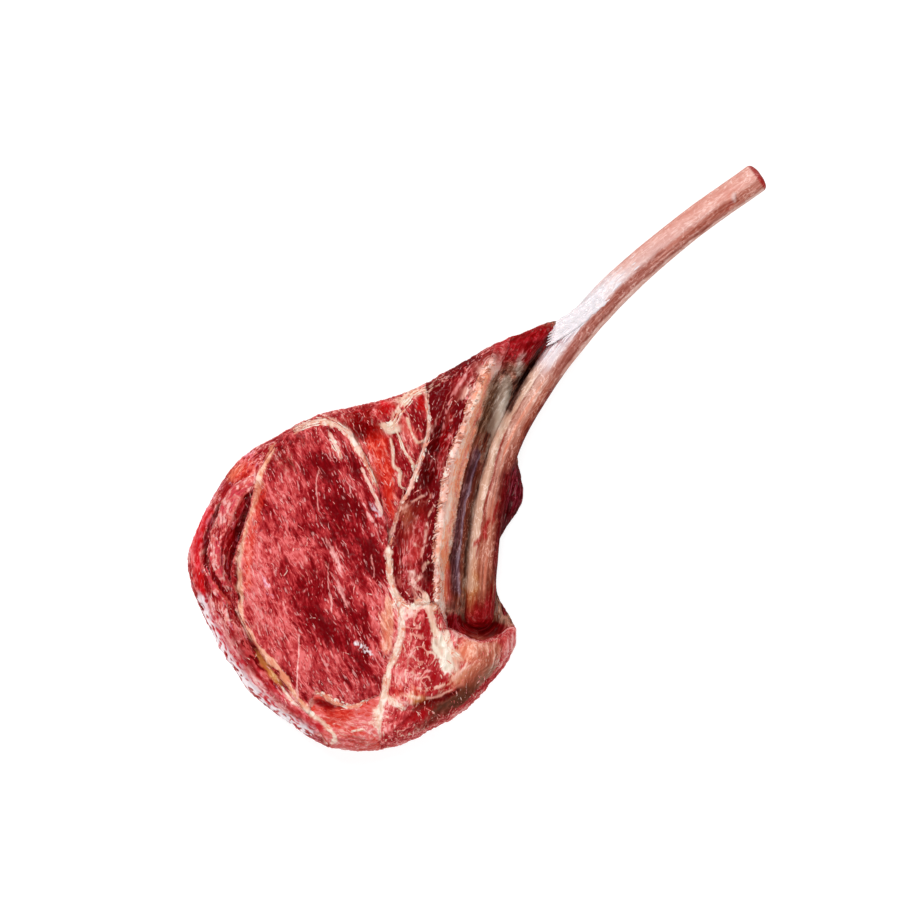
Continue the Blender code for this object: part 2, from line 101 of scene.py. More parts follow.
# Strands, folds and bands, in the order they are laid: colour, half width in millimetres, strength, rise, and
# the points they run through. The length of a title also seeds the strand's unevenness.
STRANDS = {
    # the rib cap
    "cap rind": ("lilac", 3.4, 0.8, 0.2, (-96, 73), (-110, 69), (-122, 64), (-132, 56)),
    "cap red edge": ("scarlet", 2.4, 0.85, 0.4, (-110, 66), (-121, 62), (-130, 55), (-136, 47), (-140, 40)),
    "cap edge light": ("pink", 1.0, 0.8, 0.3, (-106, 69.5), (-117, 66), (-127, 60), (-134, 53), (-140, 44)),
    "cap rim flesh": ("crimson", 4.2, 0.75, 0.1, (-141, 38), (-145, 25), (-148, 10), (-149, -6),
                      (-148, -20), (-146, -34)),
    "cap fatty rim": ("pale lilac", 2.8, 0.95, 0.4, (-140, 44), (-145, 34), (-149, 21), (-152, 6),
                      (-152, -9), (-150, -22), (-147, -34)),
    "cap fat specks": ("blush", 1.6, 0.9, 0.4, (-137, 40), (-142, 28), (-145, 14), (-148, 2), (-148.5, -12),
                       (-147, -26)),
    "cap fat specks in": ("pink", 1.3, 0.8, 0.3, (-139, 24), (-142, 12), (-144.5, 0), (-146, -14),
                          (-145, -28)),
    "cap inner meat": ("blood", 3.0, 0.9, -0.4, (-92, 59), (-97.5, 57), (-106, 53.3), (-114.5, 49),
                       (-121.5, 43.5), (-128, 36)),
    "cap fold": ("coral", 1.1, 0.85, 0.7, (-88, 61), (-96, 63), (-102, 62.5), (-108, 61), (-114, 56.5)),
    "cap fold inner": ("coral", 0.9, 0.8, 0.6, (-94, 59), (-98, 59.5), (-104, 58), (-110, 55.5)),
    "cap fold low": ("coral", 1.2, 0.8, 0.7, (-118, 57), (-121, 52), (-125, 47.5), (-128, 42),
                     (-130, 35.5)),
    "cap fold last": ("coral", 0.8, 0.75, 0.5, (-128, 50.5), (-131, 44.5), (-133, 37), (-134.5, 30)),
    # The three gaps are painted shade: dark red laid in the cap's sunk grooves.
    "cap gap": ("maroon", 2.0, 0.97, -1.8, (-88, 57.5), (-97, 55.5), (-107, 50.5), (-116, 44.5), (-124, 37),
                (-131, 28)),
    "cap outer gap": ("maroon", 1.3, 0.95, -1.1, (-106, 63.5), (-115, 61), (-123, 56), (-129, 50),
                      (-133, 43)),
    "cap low gap": ("wine", 1.1, 0.8, -0.9, (-134, 28), (-137, 18), (-139.5, 8), (-141, -4), (-143, -14)),
    "cap inner red": ("red", 1.6, 0.6, 0.2, (-141, 24), (-145, 10), (-147, -5), (-147, -18), (-145, -32)),
    "yellow fat": ("ochre", 1.6, 0.95, 0.6, (-140, 9.5), (-141, 3), (-142, -4.5), (-143, -8.5)),
    "cap thread": ("ivory", 0.7, 0.85, 0.2, (-143, -9), (-144, -14), (-144, -20)),
    # the eye
    "eye rind": ("rind", 1.3, 0.9, 0.5, (-73, 65), (-84, 61), (-93.5, 55), (-106, 49), (-118, 41),
                 (-128, 30.5), (-135, 21.5), (-138, 8), (-138, -3), (-141, -15), (-142, -24)),
    "eye red band": ("vermilion", 2.6, 0.55, 0.1, (-86, 57.5), (-94, 52.5), (-105, 46), (-115.5, 38.5),
                     (-125, 28)),
    "eye head": ("ivory", 1.5, 0.95, 0.5, (-64, 64), (-56, 61), (-50, 56), (-47.5, 48), (-49, 41),
                 (-50.5, 35)),
    "eye head low": ("salmon", 1.1, 0.8, 0.3, (-48, 42), (-50.5, 34), (-52.5, 28), (-55.5, 21)),
    "eye frill": ("rosy fat", 0.9, 0.7, 0.3, (-52.5, 53.5), (-56, 43.5), (-58, 40)),
    "eye seam": ("rosy fat", 0.7, 0.8, 0.3, (-53.5, 33), (-56.5, 25.5), (-59, 18.5), (-62.5, 12)),
    "eye seam inner": ("blush", 0.8, 0.7, 0.3, (-62.5, 27), (-64, 20.5), (-66, 15.5), (-67, 9.5)),
    "eye flank": ("ivory", 1.5, 0.9, 0.5, (-69, 1), (-74.5, -5), (-79.5, -11), (-82, -17), (-86, -23),
                  (-93, -30), (-101, -34), (-107, -36.5), (-114, -42), (-121, -46), (-127, -51)),
    "eye flank band": ("salmon", 1.6, 0.7, 0.2, (-84, -13), (-89, -20), (-95, -25), (-102, -30)),
    "eye foot": ("salmon", 0.9, 0.9, 0.4, (-135, -20), (-132, -25), (-130, -33), (-126, -37),
                 (-120, -38.5)),
    "long marbling": ("blush", 0.45, 0.6, 0.2, (-121, 2.5), (-129, -5.5), (-135, -10.5), (-140, -16),
                      (-143, -20)),
    "marbling two": ("blush", 0.4, 0.6, 0.1, (-92, 14), (-98, 8), (-102, 2), (-107, -3)),
    "marbling three": ("blush", 0.4, 0.6, 0.1, (-76, 4), (-80, -1), (-84, -5)),
    "marbling four": ("blush", 0.45, 0.6, 0.1, (-66, 45), (-72, 41), (-77, 35), (-80, 31)),
    # the tail
    "tail line": ("ivory", 0.9, 0.9, 0.3, (-143, -20), (-142, -26), (-141, -35), (-142, -40), (-146, -41)),
    "tail white": ("ivory", 0.8, 0.9, 0.3, (-135.5, -43), (-130.5, -46.5)),
    "tail side": ("ivory", 1.0, 0.9, 0.3, (-114, -43.5), (-114, -48), (-113, -52.5)),
    # the wedge
    "wedge seam": ("ivory", 0.6, 0.95, 0.4, (-36, 33), (-39.5, 28), (-43.5, 23.5), (-43.5, 19.5),
                   (-47.5, 16), (-47, 12.5)),
    "wedge seam two": ("ivory", 0.6, 0.9, 0.4, (-32.5, 32.5), (-35.5, 25.5), (-37.5, 18), (-39.5, 14.5)),
    "wedge seam three": ("ivory", 0.6, 0.9, 0.4, (-25, 34.5), (-28, 29), (-29.5, 23.5), (-26.5, 22)),
    "rib seam": ("rosy fat", 0.85, 0.9, 0.5, (-11, 36), (-15, 32), (-19, 27), (-24, 22.5), (-34.5, 17),
                 (-45, 11.5), (-52.5, 10), (-61.5, 5), (-69, 1)),
    "star": ("ivory", 1.7, 0.95, 0.5, (-35.5, 40), (-32.5, 36), (-25, 38), (-16.5, 39), (-10.5, 37)),
    "shoulder": ("ivory", 1.6, 0.7, 0.3, (-13.5, 36), (-9, 36), (-4, 35), (2, 33.5)),
    # the meat beside the rib
    "lobe crest side": ("blood", 1.6, 0.6, 0, (24, 28), (8, 28), (-8, 24), (-21, 16), (-34, 6)),
    "lobe fat": ("blush", 0.5, 0.7, 0.3, (16, 32), (8.5, 30), (0, 28), (-7, 27)),
    "lobe fat two": ("blush", 0.6, 0.6, 0.3, (6, 29), (-3, 27), (-12, 24), (-19, 19)),
    "lobe fat three": ("rosy fat", 0.6, 0.6, 0.2, (-41.5, 0.5), (-49.5, -3), (-58.5, -9.5), (-65.5, -13)),
    "lobe fat four": ("rosy fat", 0.6, 0.65, 0.2, (-53.5, 7.5), (-46, 6.5), (-41.5, 4)),
    "lobe fat five": ("rosy fat", 0.5, 0.65, 0.2, (-60.5, -4.5), (-60.5, -9), (-57, -10.5)),
    "lobe streak": ("rosy fat", 0.8, 0.8, 0.2, (-62.5, -14.5), (-68.5, -17.5), (-74.5, -16.5)),
    "shoulder streak": ("blush", 0.5, 0.7, 0.2, (13.5, 34.5), (8, 34), (3, 33)),
    # the ridge and the bed beside the rib
    "crest": ("rosy fat", 1.4, 0.9, 0.4, (15, 25.5), (6.8, 22.3), (-6.1, 16.8), (-14.5, 12.4), (-23.3, 8),
              (-32.5, 1.5)),
    "crest low": ("rosy fat", 1.8, 0.9, 0.4) + CREST[5:9],
    "low crest": ("ivory", 1.1, 0.9, 0.3) + CREST[8:],
    "crest wall": ("ridge orange", 2.4, 0.97, 0, (14, 24), (5.6, 20.4), (-4.6, 15), (-13.1, 10.3),
                   (-22, 5.6), (-31.5, -0.5), (-39, -6), (-48, -12), (-54.6, -17.1), (-61.6, -25.6),
                   (-68.5, -32.6)),
    "branch": ("ivory", 0.9, 0.85, 0.2, (-57, -17.5), (-60.5, -16), (-63.5, -15.5)),
    "foot shadow": ("brown", 1.3, 0.85, -0.4, (16.5, 20.5), (8.5, 17), (-1.5, 11.5), (-10, 6.8), (-19.5, 2),
                    (-29, -4), (-36, -9.5)),
    "membrane sheet": ("bark", 3.2, 0.85, 0, (15, 20), (8, 16), (-0.5, 11), (-10, 6)),
    "membrane light": ("silver", 1.4, 0.6, 0.2, (17, 15.5), (9, 12), (2, 8), (-6, 4.5)),
    "white sheet": ("silver", 2.9, 0.8, 0.2, (19, 17.5), (13, 13), (6.5, 9), (1, 5.4), (-5, 1.5), (-11, -2),
                    (-16, -5.5)),
    "white core": ("cream", 1.6, 0.75, 0.3, (13, 12), (6.5, 8.6), (1, 5), (-5, 1.3), (-11, -2.2)),
    "ridge shine": ("ivory", 0.8, 0.8, 0.2, (12.5, 24.5), (5.5, 21.3), (-5.5, 15.6), (-14, 11), (-23, 6.5),
                    (-32.5, 0.5), (-40, -5), (-49, -11), (-56, -16.5)),
    "ridge streak": ("coral", 0.7, 0.6, 0, (13, 22), (5.5, 19), (-4, 13.8), (-12.5, 9), (-21.5, 4.6),
                     (-31.5, -1.5), (-39, -7), (-48, -13), (-55, -18.5)),
    "ridge foot": ("coral", 1.8, 0.8, 0, (-58, -23), (-63, -29), (-67, -35)),
    "purple band": ("brown", 3.2, 0.9, 0, (-14.5, 2.5), (-25, -4), (-35.5, -10), (-46.5, -18.5),
                    (-56.5, -26.5), (-65.5, -35.5), (-69, -40)),
    "purple deep": ("plum", 1.9, 0.8, 0, (-13, 4), (-24, -2.5), (-35, -8.5), (-46, -16.5), (-56, -25),
                    (-64, -34)),
    "purple shine": ("plum grey", 0.5, 0.6, 0.3, (-14, 1.5), (-25, -4), (-35.5, -10.5), (-46, -19),
                     (-54.5, -25.5)),
    "purple foot": ("plum grey", 0.8, 0.5, 0.2, (-50, -21), (-57, -28), (-63, -36)),
    "purple edge": ("umber", 0.7, 0.85, -0.4, (-8, 1.5), (-19, -5.5), (-30, -11.5), (-40, -18.5),
                    (-50, -26), (-60, -35)),
    "cream strip": ("tan", 2.0, 0.92, 0.3, (-1, 3), (-10, -2), (-19.5, -8), (-30, -13.5), (-39, -20),
                    (-49, -28), (-59, -37)),
    "bone edge line": ("brick", 0.5, 0.8, -0.2, (1, 0.5), (-9, -4.5), (-19.5, -11), (-29.5, -16.5),
                       (-38.5, -23.5), (-47.5, -29.5)),
    "blood streak": ("blood", 1.1, 0.9, 0, (-30, -20.5), (-35, -23), (-39.5, -26.5)),
    "blood streak two": ("blood", 0.8, 0.85, 0, (-38.5, -24), (-44.5, -25)),
    "blood streak three": ("blood", 0.7, 0.8, 0, (-22.5, -18), (-32, -24)),
    "rib dark side": ("maroon", 1.8, 0.95, 0, (-10, -13), (-21, -19.5), (-31.5, -27.5), (-41.5, -35.5),
                      (-49, -46), (-55.5, -56)),
    "tip rim": ("wine", 2.4, 0.95, 0, (50, 13), (42, 15), (36, 17), (28, 21)),
    # The crevice is painted shade: dark umber in the sunk crevice beside the rib.
    "crevice": ("umber", 1.4, 0.95, -0.4, (36, 15), (28, 12.5), (20, 10), (13, 7.5), (6, 5)),
    # the bare rib
    "rib groove": ("bone clay", 0.5, 0.6, -0.2, (145.5, -2.5), (132, 1), (120, 3.4), (108, 5)),
    "rib knob": ("bone pink", 1.0, 0.9, 1.0, (139.6, 3.8), (138, 2.4), (137, 0.4)),
    "rib knob shade": ("bone clay", 0.5, 0.7, -0.2, (138.6, 1.4), (138.4, 0.2), (138, -0.8)),
    # the chine side
    "chine top": ("ivory", 1.6, 0.9, 0.5, (-86, -18), (-82.5, -19), (-80, -24.5), (-76.5, -25),
                  (-74.5, -30.5), (-71.5, -29.5)),
    "lip": ("ivory", 1.2, 0.9, 0.4, (-77, -40.5), (-80, -45.5), (-81.5, -50.5), (-81, -55)),
    "lip head": ("ivory", 1.3, 0.9, 0.4, (-72, -23), (-75, -29), (-79, -35.5), (-82, -41.5), (-86, -49)),
    "chine bank": ("rosy fat", 1.6, 0.7, 0.2, (-68, -11), (-73, -19), (-76, -29), (-78, -36)),
    "chine vein": ("rosy fat", 0.9, 0.8, 0.3, (-104, -48), (-99, -54), (-93, -57), (-86, -58), (-79, -58)),
    "chine vein two": ("blush", 0.6, 0.8, 0.2, (-84, -31), (-90, -36), (-95, -38)),
    "chine vein three": ("blush", 0.6, 0.8, 0.2, (-92, -50), (-97, -46), (-103, -44)),
    "chine vein four": ("rosy fat", 0.6, 0.75, 0.2, (-107, -50), (-104, -55), (-98, -59), (-90, -61)),
    # The chine crease is painted shade: dark red in a sunk crease low on the chine.
    "chine crease": ("wine", 0.8, 0.8, -0.5, (-112, -52), (-106, -56), (-98, -61), (-90, -63)),
    "white lip": ("cream", 2.0, 0.95, 0.5, (-79.5, -40.5), (-83.5, -47.5), (-87.5, -54)),
}

# Patches, in the order they are laid: colour, middle x and y, half length, half width, turn in degrees,
# strength, rise.
PATCHES = (
    # the eye
    ("deeper", -62, 48, 9, 4.5, -115, 0.9, -0.6), ("brown", -75, 57, 7, 5, -75, 0.4, 0),
    ("brick", -64, 59, 9, 4, -35, 0.4, 0), ("paler", -112, 38, 16, 7, -130, 0.9, 0.2),
    ("deeper", -82, 57, 7, 3, -120, 0.6, -0.4), ("paler", -126, 14, 16, 7, -100, 0.9, 0.2),
    ("deeper", -77, 15, 15, 5, -105, 1.0, -0.8), ("deeper", -79, 0, 7, 5, -105, 0.9, -0.3),
    ("deeper", -112, 1, 9, 5, -90, 0.9, -0.8), ("deeper", -111, -12, 8, 4.5, -90, 0.9, -0.7),
    ("deeper", -119, -27, 6, 5, -105, 0.8, -0.4), ("paler", -131, -10, 10, 4, 35, 0.8, 0.3),
    ("coral", -110, 42, 13, 3.5, -130, 0.3, 0.2), ("coral", -129, 18, 14, 4, -100, 0.25, 0.2),
    ("salmon", -92, -20, 8.5, 2.5, 40, 0.6, 0.3), ("coral", -100, -28, 7, 2, 35, 0.5, 0.2),
    ("paler", -51, 46, 7.5, 5, -100, 0.8, 0.2), ("deeper", -55, 37, 7.5, 3, -110, 0.8, -0.2),
    ("paler", -86, 47, 9, 4, -110, 0.7, 0.3), ("paler", -95, 31, 12, 3.5, -112, 0.5, 0.4),
    ("deeper", -93, 22, 12, 3, -112, 0.5, -0.4), ("deeper", -68, 33, 10, 3, -110, 0.6, -0.4),
    ("paler", -90, 5, 12, 3.5, -112, 0.5, 0.4), ("paler", -84, -14, 7, 3, -140, 0.6, 0.2),
    ("deeper", -97, -7, 10, 3, -110, 0.6, -0.3), ("pale lilac", -63, 15, 6, 1.0, -108, 0.5, 0.3),
    ("pale lilac", -107, -22, 5.5, 1.5, -80, 0.75, 0.3), ("lilac", -117, 25, 6, 1.4, -110, 0.6, 0.2),
    ("blush", -88, 14, 8, 1.2, -112, 0.6, 0.3), ("blush", -97, 0, 8, 1.1, -112, 0.6, 0.3),
    # the cap
    ("lilac", -83, 71, 6, 3, 5, 0.75, 0.3), ("orange", -90, 67, 7.5, 4, 0, 0.6, 0.4),
    ("salmon", -94, 69, 5, 1.5, 0, 0.5, 0.2), ("salmon", -105, 62, 6, 2.5, 5, 0.4, 0.5),
    ("deeper", -127, 44, 7, 3.5, 50, 0.5, 0.3), ("deeper", -134, 42, 5, 2, 65, 0.6, 0.3),
    ("lilac", -141, 40, 5, 1.5, 65, 0.6, 0), ("deeper", -117, 47, 8.5, 2.5, 50, 0.6, 0.3),
    ("deeper", -144, 5, 3.5, 3, -90, 0.9, -0.3), ("red", -145, -20, 4, 2.5, -85, 0.7, 0.2),
    ("crimson", -144, -29, 5.5, 3, -75, 0.8, 0.3),
    # the tail
    ("vermilion", -134, -35, 7.5, 3.5, -53, 0.7, 0.3), ("blood", -135, -27, 5, 1.7, -65, 0.9, -0.4),
    ("red", -138, -46, 9, 2, -50, 0.5, 0), ("ivory", -124, -46, 5, 2.5, 35, 0.5, 0.2),
    # the wedge
    ("scarlet", -29, 43, 4.5, 3, -25, 0.9, 0.4), ("clay", -37.5, 46, 3, 0.7, 25, 0.6, 0.3),
    ("orange", -41, 36, 6, 4, -105, 0.8, 0.7), ("vermilion", -47, 26, 8.5, 4, -120, 0.85, 0.6),
    ("vermilion", -55, 14, 7.5, 2, -125, 0.8, 0.4), ("cream", -33, 35, 4, 2, -60, 0.9, 0.4),
    ("coral", -29, 32, 4, 1.7, -115, 0.7, 0.3), ("scarlet", -17, 34, 3.5, 2, -125, 0.8, 0.3),
    ("coral", -29, 26, 5, 2, -115, 0.7, 0.3), ("red", -40, 26, 6, 2, -110, 0.6, 0.2),
    ("coral", -42, 50, 5, 1.3, -33, 0.6, 0.2), ("mauve", -62, 15, 7.5, 1.6, -100, 0.3, 0.3),
    ("ivory", -19, 40, 5, 1.7, -20, 0.8, 0.4),
    # the meat beside the rib
    # The two maroon patches that follow are painted shade on the low meat beside the crest.
    ("maroon", -24, 18, 10, 4, 27, 0.9, -0.4), ("maroon", -35, 11, 7, 3.5, 25, 0.9, -0.5),
    ("deeper", -8, 26, 12, 4, 20, 0.9, -0.2), ("deeper", -46, 2, 9, 4, 30, 0.8, -0.2),
    ("red", -1, 29, 6, 3, 0, 0.5, 0.2), ("brick", -57, -2, 10, 5.5, 30, 0.7, 0.1),
    ("clay", -54, 5.5, 5, 2.4, 45, 0.6, 0.2), ("red", -53, -3, 6, 2.6, 45, 0.7, 0.1),
    ("rose", -63, -8, 6.5, 3.6, 45, 0.7, 0.2), ("red", -73, -16, 6, 5, 35, 0.8, 0.2),
    ("maroon", -65, -19, 4, 3, 35, 0.8, -0.5), ("brick", -48, 4, 4, 3.5, -45, 0.5, 0),
    ("rosy fat", 0, 24, 4, 2.5, -5, 0.55, 0.2),
    # the rib's small knob
    ("bone rose", 137.5, 2.5, 2.4, 1.8, 0, 0.8, 0.5), ("brick", 135.2, 0.9, 3, 0.6, 12, 0.7, -0.3),
    # the tip
    ("blood", 33, 21, 15, 7, -30, 0.97, 0.2), ("blood", 25, 24, 8, 5, -20, 0.9, 0.3),
    ("red", 30, 23, 7, 1.6, -28, 0.6, 0.3), ("crimson", 35, 20, 5, 1.0, -30, 0.5, 0.2),
    ("wine", 27, 17, 7, 2.5, -35, 0.8, 0), ("pearl", 24, 15.5, 5, 1.0, 35, 0.45, 0.2),
    ("coral", 20, 24, 4, 1.4, 20, 0.5, 0.2), ("taupe", 22, 17, 3.4, 2.4, -45, 0.6, 0),
    ("taupe", 20, 10, 3, 2, 15, 0.6, 0),
    # the ridge and the bed
    ("rosy fat", 13, 24, 5, 4, 0, 0.75, 0.2), ("orange", -20, 5, 6, 1.4, 33, 0.45, 0.1),
    ("coral", -44, -9, 6, 1.8, 38, 0.5, 0.1), ("orange", -2, 15, 5, 1.2, 28, 0.4, 0.1),
    ("coral", -33, -2, 5, 1.2, 38, 0.4, 0), ("coral", -64, -28, 7, 3, 55, 0.7, 0.1),
    ("brick", -16, -3, 4, 1.4, 27, 0.4, 0), ("ochre", -55, -34, 8.5, 2.5, 43, 0.6, 0),
    # The two wine patches and the blood patch that follow are painted shade in the sunk pit where the rib
    # ends.
    ("wine", -73, -41, 4, 3.5, 0, 0.95, -0.5), ("blood", -70, -49, 6, 3.5, -45, 0.97, -0.6),
    ("wine", -64, -55, 6, 3.5, -35, 0.95, -0.4), ("scarlet", -73, -48, 1.7, 1.3, -45, 0.8, 0),
    ("night", -15, -19, 11, 6, 35, 0.95, 0), ("night", -26, -28, 8, 3.5, 25, 0.95, 0),
    # the dark hollow at the head of the wedge: sunk, with dark red painted in as its shade
    ("blood", -41.5, 44.5, 7, 4.5, -65, 1.0, -1.0), ("blood", -38, 48, 5.5, 3, 10, 0.9, -0.5),
    ("wine", -42.5, 43.5, 4, 2.5, 0, 0.9, -0.4),
    # the chine side
    ("cream", -85, -46, 7, 3, 65, 0.9, 0.3), ("cream", -86, -52, 3.5, 3, -75, 0.9, 0.2),
    ("salmon", -77, -54, 5.5, 4, -30, 0.8, 0.3), ("clay", -71, -60, 5.5, 4, -15, 0.8, 0.1),
    ("rose", -62, -64, 6, 2.5, 35, 0.7, 0), ("clay", -83, -61, 6, 3, -5, 0.6, 0),
    ("silver", -77, -67, 7, 2.5, 0, 0.6, 0), ("brown", -92, -66, 7.5, 3, -7, 0.8, 0),
    ("taupe", -97, -64, 10, 2.6, -12, 0.7, 0), ("brick", -104, -57, 9, 3, -30, 0.6, 0),
    ("wine", -108, -55, 7, 1.5, -30, 0.6, -0.3), ("clay", -80, -64, 9, 2.5, 5, 0.5, 0),
    ("brick", -110, -64, 8.5, 2.5, -15, 0.7, 0), ("deeper", -102, -60, 16, 5, -12, 1.2, -0.3),
    ("deeper", -88, -65, 12, 4, -5, 1.0, -0.2), ("paler", -100, -45, 6, 3, -40, 0.8, 0.3),
    ("deeper", -87, -36, 5, 3, 50, 0.9, -0.3), ("paler", -108, -52, 5, 3, 0, 0.7, 0.3),
    ("rose", -98, -39, 7, 5, 55, 0.4, 0.1), ("deeper", -96, -47, 7, 3.5, -65, 0.8, 0.1),
    # The first two deeper patches below are painted shade in the crease low on the chine.
    ("deeper", -113, -57, 4, 1.5, -20, 1.0, -0.6), ("deeper", -106, -60, 4, 1.5, -15, 1.0, -0.5),
    ("brown", -83, -42, 9, 0.6, 65, 0.5, -0.4), ("deeper", -100, -52, 6, 3, -30, 0.9, -0.3),
    ("paler", -88, -27, 8, 5, 50, 0.7, 0.2), ("deeper", -90, -43, 5, 3, 40, 0.8, -0.2),
    ("orange", -103, -50, 3.5, 1.5, -60, 0.5, 0.1), ("apricot", -87, -59, 7, 2.5, -10, 0.5, 0.2),
    ("rose", -94, -31, 8.5, 2.5, 40, 0.5, 0.2), ("vermilion", -110, -45, 6, 3, 35, 0.5, 0.1),
    ("ochre", -106, -52, 4, 2, -60, 0.5, 0),
)

# What fills the seam between two neighbours: colour, half width and strength. Others get a thread of fat.
SEAM_FILL = {
    ("cap_muscle", "eye_muscle"): ("blood", 0.6, 0.6),
    # The brown at the foot of the fat ridge is painted shadow.
    ("fat_ridge", "rib_bed"): ("brown", 0.5, 0.7),
    ("rib_bed", "rib_bone"): ("brick", 0.5, 0.5),
    ("chine_meat", "rib_bed"): ("blood", 0.8, 0.9),
    ("fat_ridge", "rib_lobe"): ("rosy fat", 0.8, 0.6),
}
THREAD_OF_FAT = ("rosy fat", 0.8, 0.8)

# Strands that carry raised threads, and those that are broken up into specks.
RAISED = (
    "cap thread", "eye head", "eye head low", "eye frill", "eye seam", "eye flank", "eye foot",
    "tail line", "tail white", "tail side", "wedge seam", "wedge seam two", "wedge seam three", "rib seam",
    "star", "low crest", "chine top", "lip",
)
SPECKLED = (
    "eye seam inner", "branch", "lobe fat three", "lobe fat four", "lobe fat five", "lobe streak",
    "ridge shine", "ridge streak", "chine vein", "chine vein two", "chine vein three", "chine vein four",
    "shoulder", "lobe fat", "lobe fat two", "shoulder streak", "cap edge light", "cap fatty rim",
    "cap fat specks", "cap fat specks in", "cap rind", "chine bank", "star",
)
BROKEN_UP = ("lilac", "pale lilac")  # patches of these colours are broken up too

FLECKED = ("eye_of_rib", "rib_cap", "tail_end", "wedge_meat", "rib_side_meat", "chine_side")

# Fine webs of fat: piece, how many are tried, their direction in degrees and usual length in millimetres.
WEBS = (("chine_side", 260, 60, 6), ("rib_side_meat", 260, 30, 5), ("wedge_meat", 160, 64, 6),
        ("tail_end", 60, -60, 6), ("eye_of_rib", 150, 69, 6), ("rib_cap", 300, 55, 5))

# The surfaces, in millimetres.
POINTS_A_SPAN = 4  # on a smooth line, between two of its points
SEAM_REACH = 3.0  # how far from a neighbour a seam may still be filled
SEAM_SWELL = 1.4  # how far from a neighbour the flesh swells to close the seam
NET_RISE = 0.35  # height of the net of fat
LOWEST_FLECK = 4.0  # flecks of marbling lie higher than this
UNDERSIDE_SHARE = 0.3  # of the relief, at the height of the table
LAID_STEP = 0.8  # between the points of a line that is laid over the steak
TONE_PLACES = (0.1, 0.27, 0.43, 0.62, 0.86)  # where the five tones of flesh stand on its scale from 0 to 1

# The stage, in metres.
ABOVE_ALL = 0.08  # higher than any part of the steak
TABLE_REACH = 1.6
TABLE_TOP = -0.0005
CAMERA_HEIGHT = 1.6
VIEW_MIDDLE = (-0.0221, 0.0113)
VIEW_LEVEL = 0.015  # half the steak's thickness, where the view is VIEW_WIDTH wide
VIEW_WIDTH = 0.3825
LAMPS_AIM = (-0.022, 0.011)

# Lamps: bearing and height in degrees, distance and side in metres, watts.
LAMPS = (
    ("key", 90, 44, 1.3, 0.35, 10.5),
    ("top", 60, 72, 1.3, 0.3, 3.8),
    ("left fill", 190, 45, 1.4, 0.8, 7.4),
    ("right fill", 0, 45, 1.4, 0.8, 7.2),
    ("near fill", 270, 50, 1.4, 0.8, 6.2),
)


# ---- settings
def linear(code):
    """A colour written as six hex digits, in linear light."""
    parts = [int(code[i:i + 2], 16) / 255 for i in (0, 2, 4)]
    return tuple(c / 12.92 if c <= 0.04045 else ((c + 0.055) / 1.055) ** 2.4 for c in parts)


def attribute_of(name):
    """The property that holds a palette colour."""
    return name.replace(" ", "_")


class SteakColours(bpy.types.PropertyGroup):
    """The steak's colours, as they look in the studio's light."""

    __annotations__ = {
        attribute_of(name): FloatVectorProperty(
            name=name.capitalize(), description="Colour of the " + name + " areas", subtype="COLOR", size=3,
            min=0.0, max=1.0, default=linear(code))
        for name, code in PALETTE.items()}


def length(name, note, default, most):
    """A property for a length, given in millimetres."""
    return FloatProperty(name=name, description=note, default=default * MM, min=0.0, max=most * MM,
                         subtype="DISTANCE", unit="LENGTH", precision=5)


class SteakSizes(bpy.types.PropertyGroup):
    """Sizes of the surface's relief and details."""

    swell: length("Swell", "How far flesh bulges past the solids, which closes the seams", 0.24, 1.0)
    lump: length("Lumps", "Height of the broad lumps", 0.8, 3.0)
    furrow: length("Furrows", "Depth of the furrows along the grain", 0.7, 3.0)
    bundle: length("Bundles", "Height of the bundles of fibres", 0.38, 2.0)
    fibre: length("Fibres", "Height of single fibres", 0.1, 1.0)
    thread: length("Threads", "Radius that the threads of fat are scaled from", 0.45, 2.0)
    fleck: length("Flecks", "Length of a marbling fleck", 1.6, 5.0)
    frill: length("Frill", "Length of the frill along the crest of the fat ridge", 2.6, 6.0)


class SteakSettings(bpy.types.PropertyGroup):
    """Everything that a user would change on the steak."""

    colours: PointerProperty(type=SteakColours)
    sizes: PointerProperty(type=SteakSizes)


def seen(name):
    """A palette colour, as it looks lit."""
    return np.array(getattr(bpy.context.scene.steak.colours, attribute_of(name))[:])


def shade(name):
    """A palette colour, as a surface needs it to look so when lit."""
    return tuple(np.minimum(1.0, seen(name) / LIGHT_GAIN)) + (1.0,)


def size(name):
    """One of the relief's sizes, in millimetres."""
    return getattr(bpy.context.scene.steak.sizes, name) / MM


# ---- lines and noise
# Noise takes places divided by the width of its grain, in millimetres, and a seed that only has to differ.
def smooth_line(points):
    """A smooth curve through the points, with POINTS_A_SPAN points from each one to the next."""
    points = np.array(points, float)
    way = np.concatenate([2 * points[:1] - points[1:2], points, 2 * points[-1:] - points[-2:-1]])
    t = np.linspace(0.0, 1.0, POINTS_A_SPAN, endpoint=False)[:, None]
    spans = []
    for a, b, c, d in zip(way, way[1:], way[2:], way[3:]):
        bend = 2 * b + (c - a) * t + (2 * a - 5 * b + 4 * c - d) * t**2 + (3 * b - a - 3 * c + d) * t**3
        spans.append(0.5 * bend)
    return np.concatenate(spans + [points[-1:]])


def spaced(line, step):
    """Points at equal steps of about this length along a line."""
    run = np.concatenate([[0.0], np.cumsum(np.linalg.norm(np.diff(line, axis=0), axis=1))])
    at = np.linspace(0.0, run[-1], max(4, round(run[-1] / step) + 1))
    return np.column_stack([np.interp(at, run, column) for column in line.T]), at


def blend(low, high, value):
    """A smooth step from 0 at low to 1 at high. Low may be the larger of the two."""
    part = np.clip((value - low) / (high - low), 0.0, 1.0)
    return part * part * (3.0 - 2.0 * part)


def scatter(ix, iy, iz, seed):
    """Three numbers from 0 to 1 that belong to a cell of the lattice."""
    h = (ix * 374761393 + iy * 668265263 + iz * 1440662683 + seed * 974634777) & 0xFFFFFFFF
    h = ((h ^ (h >> 13)) * 1274126177) & 0xFFFFFFFF
    h ^= h >> 16
    return (h & 1023) / 1023, (h >> 10 & 1023) / 1023, (h >> 20 & 1023) / 1023


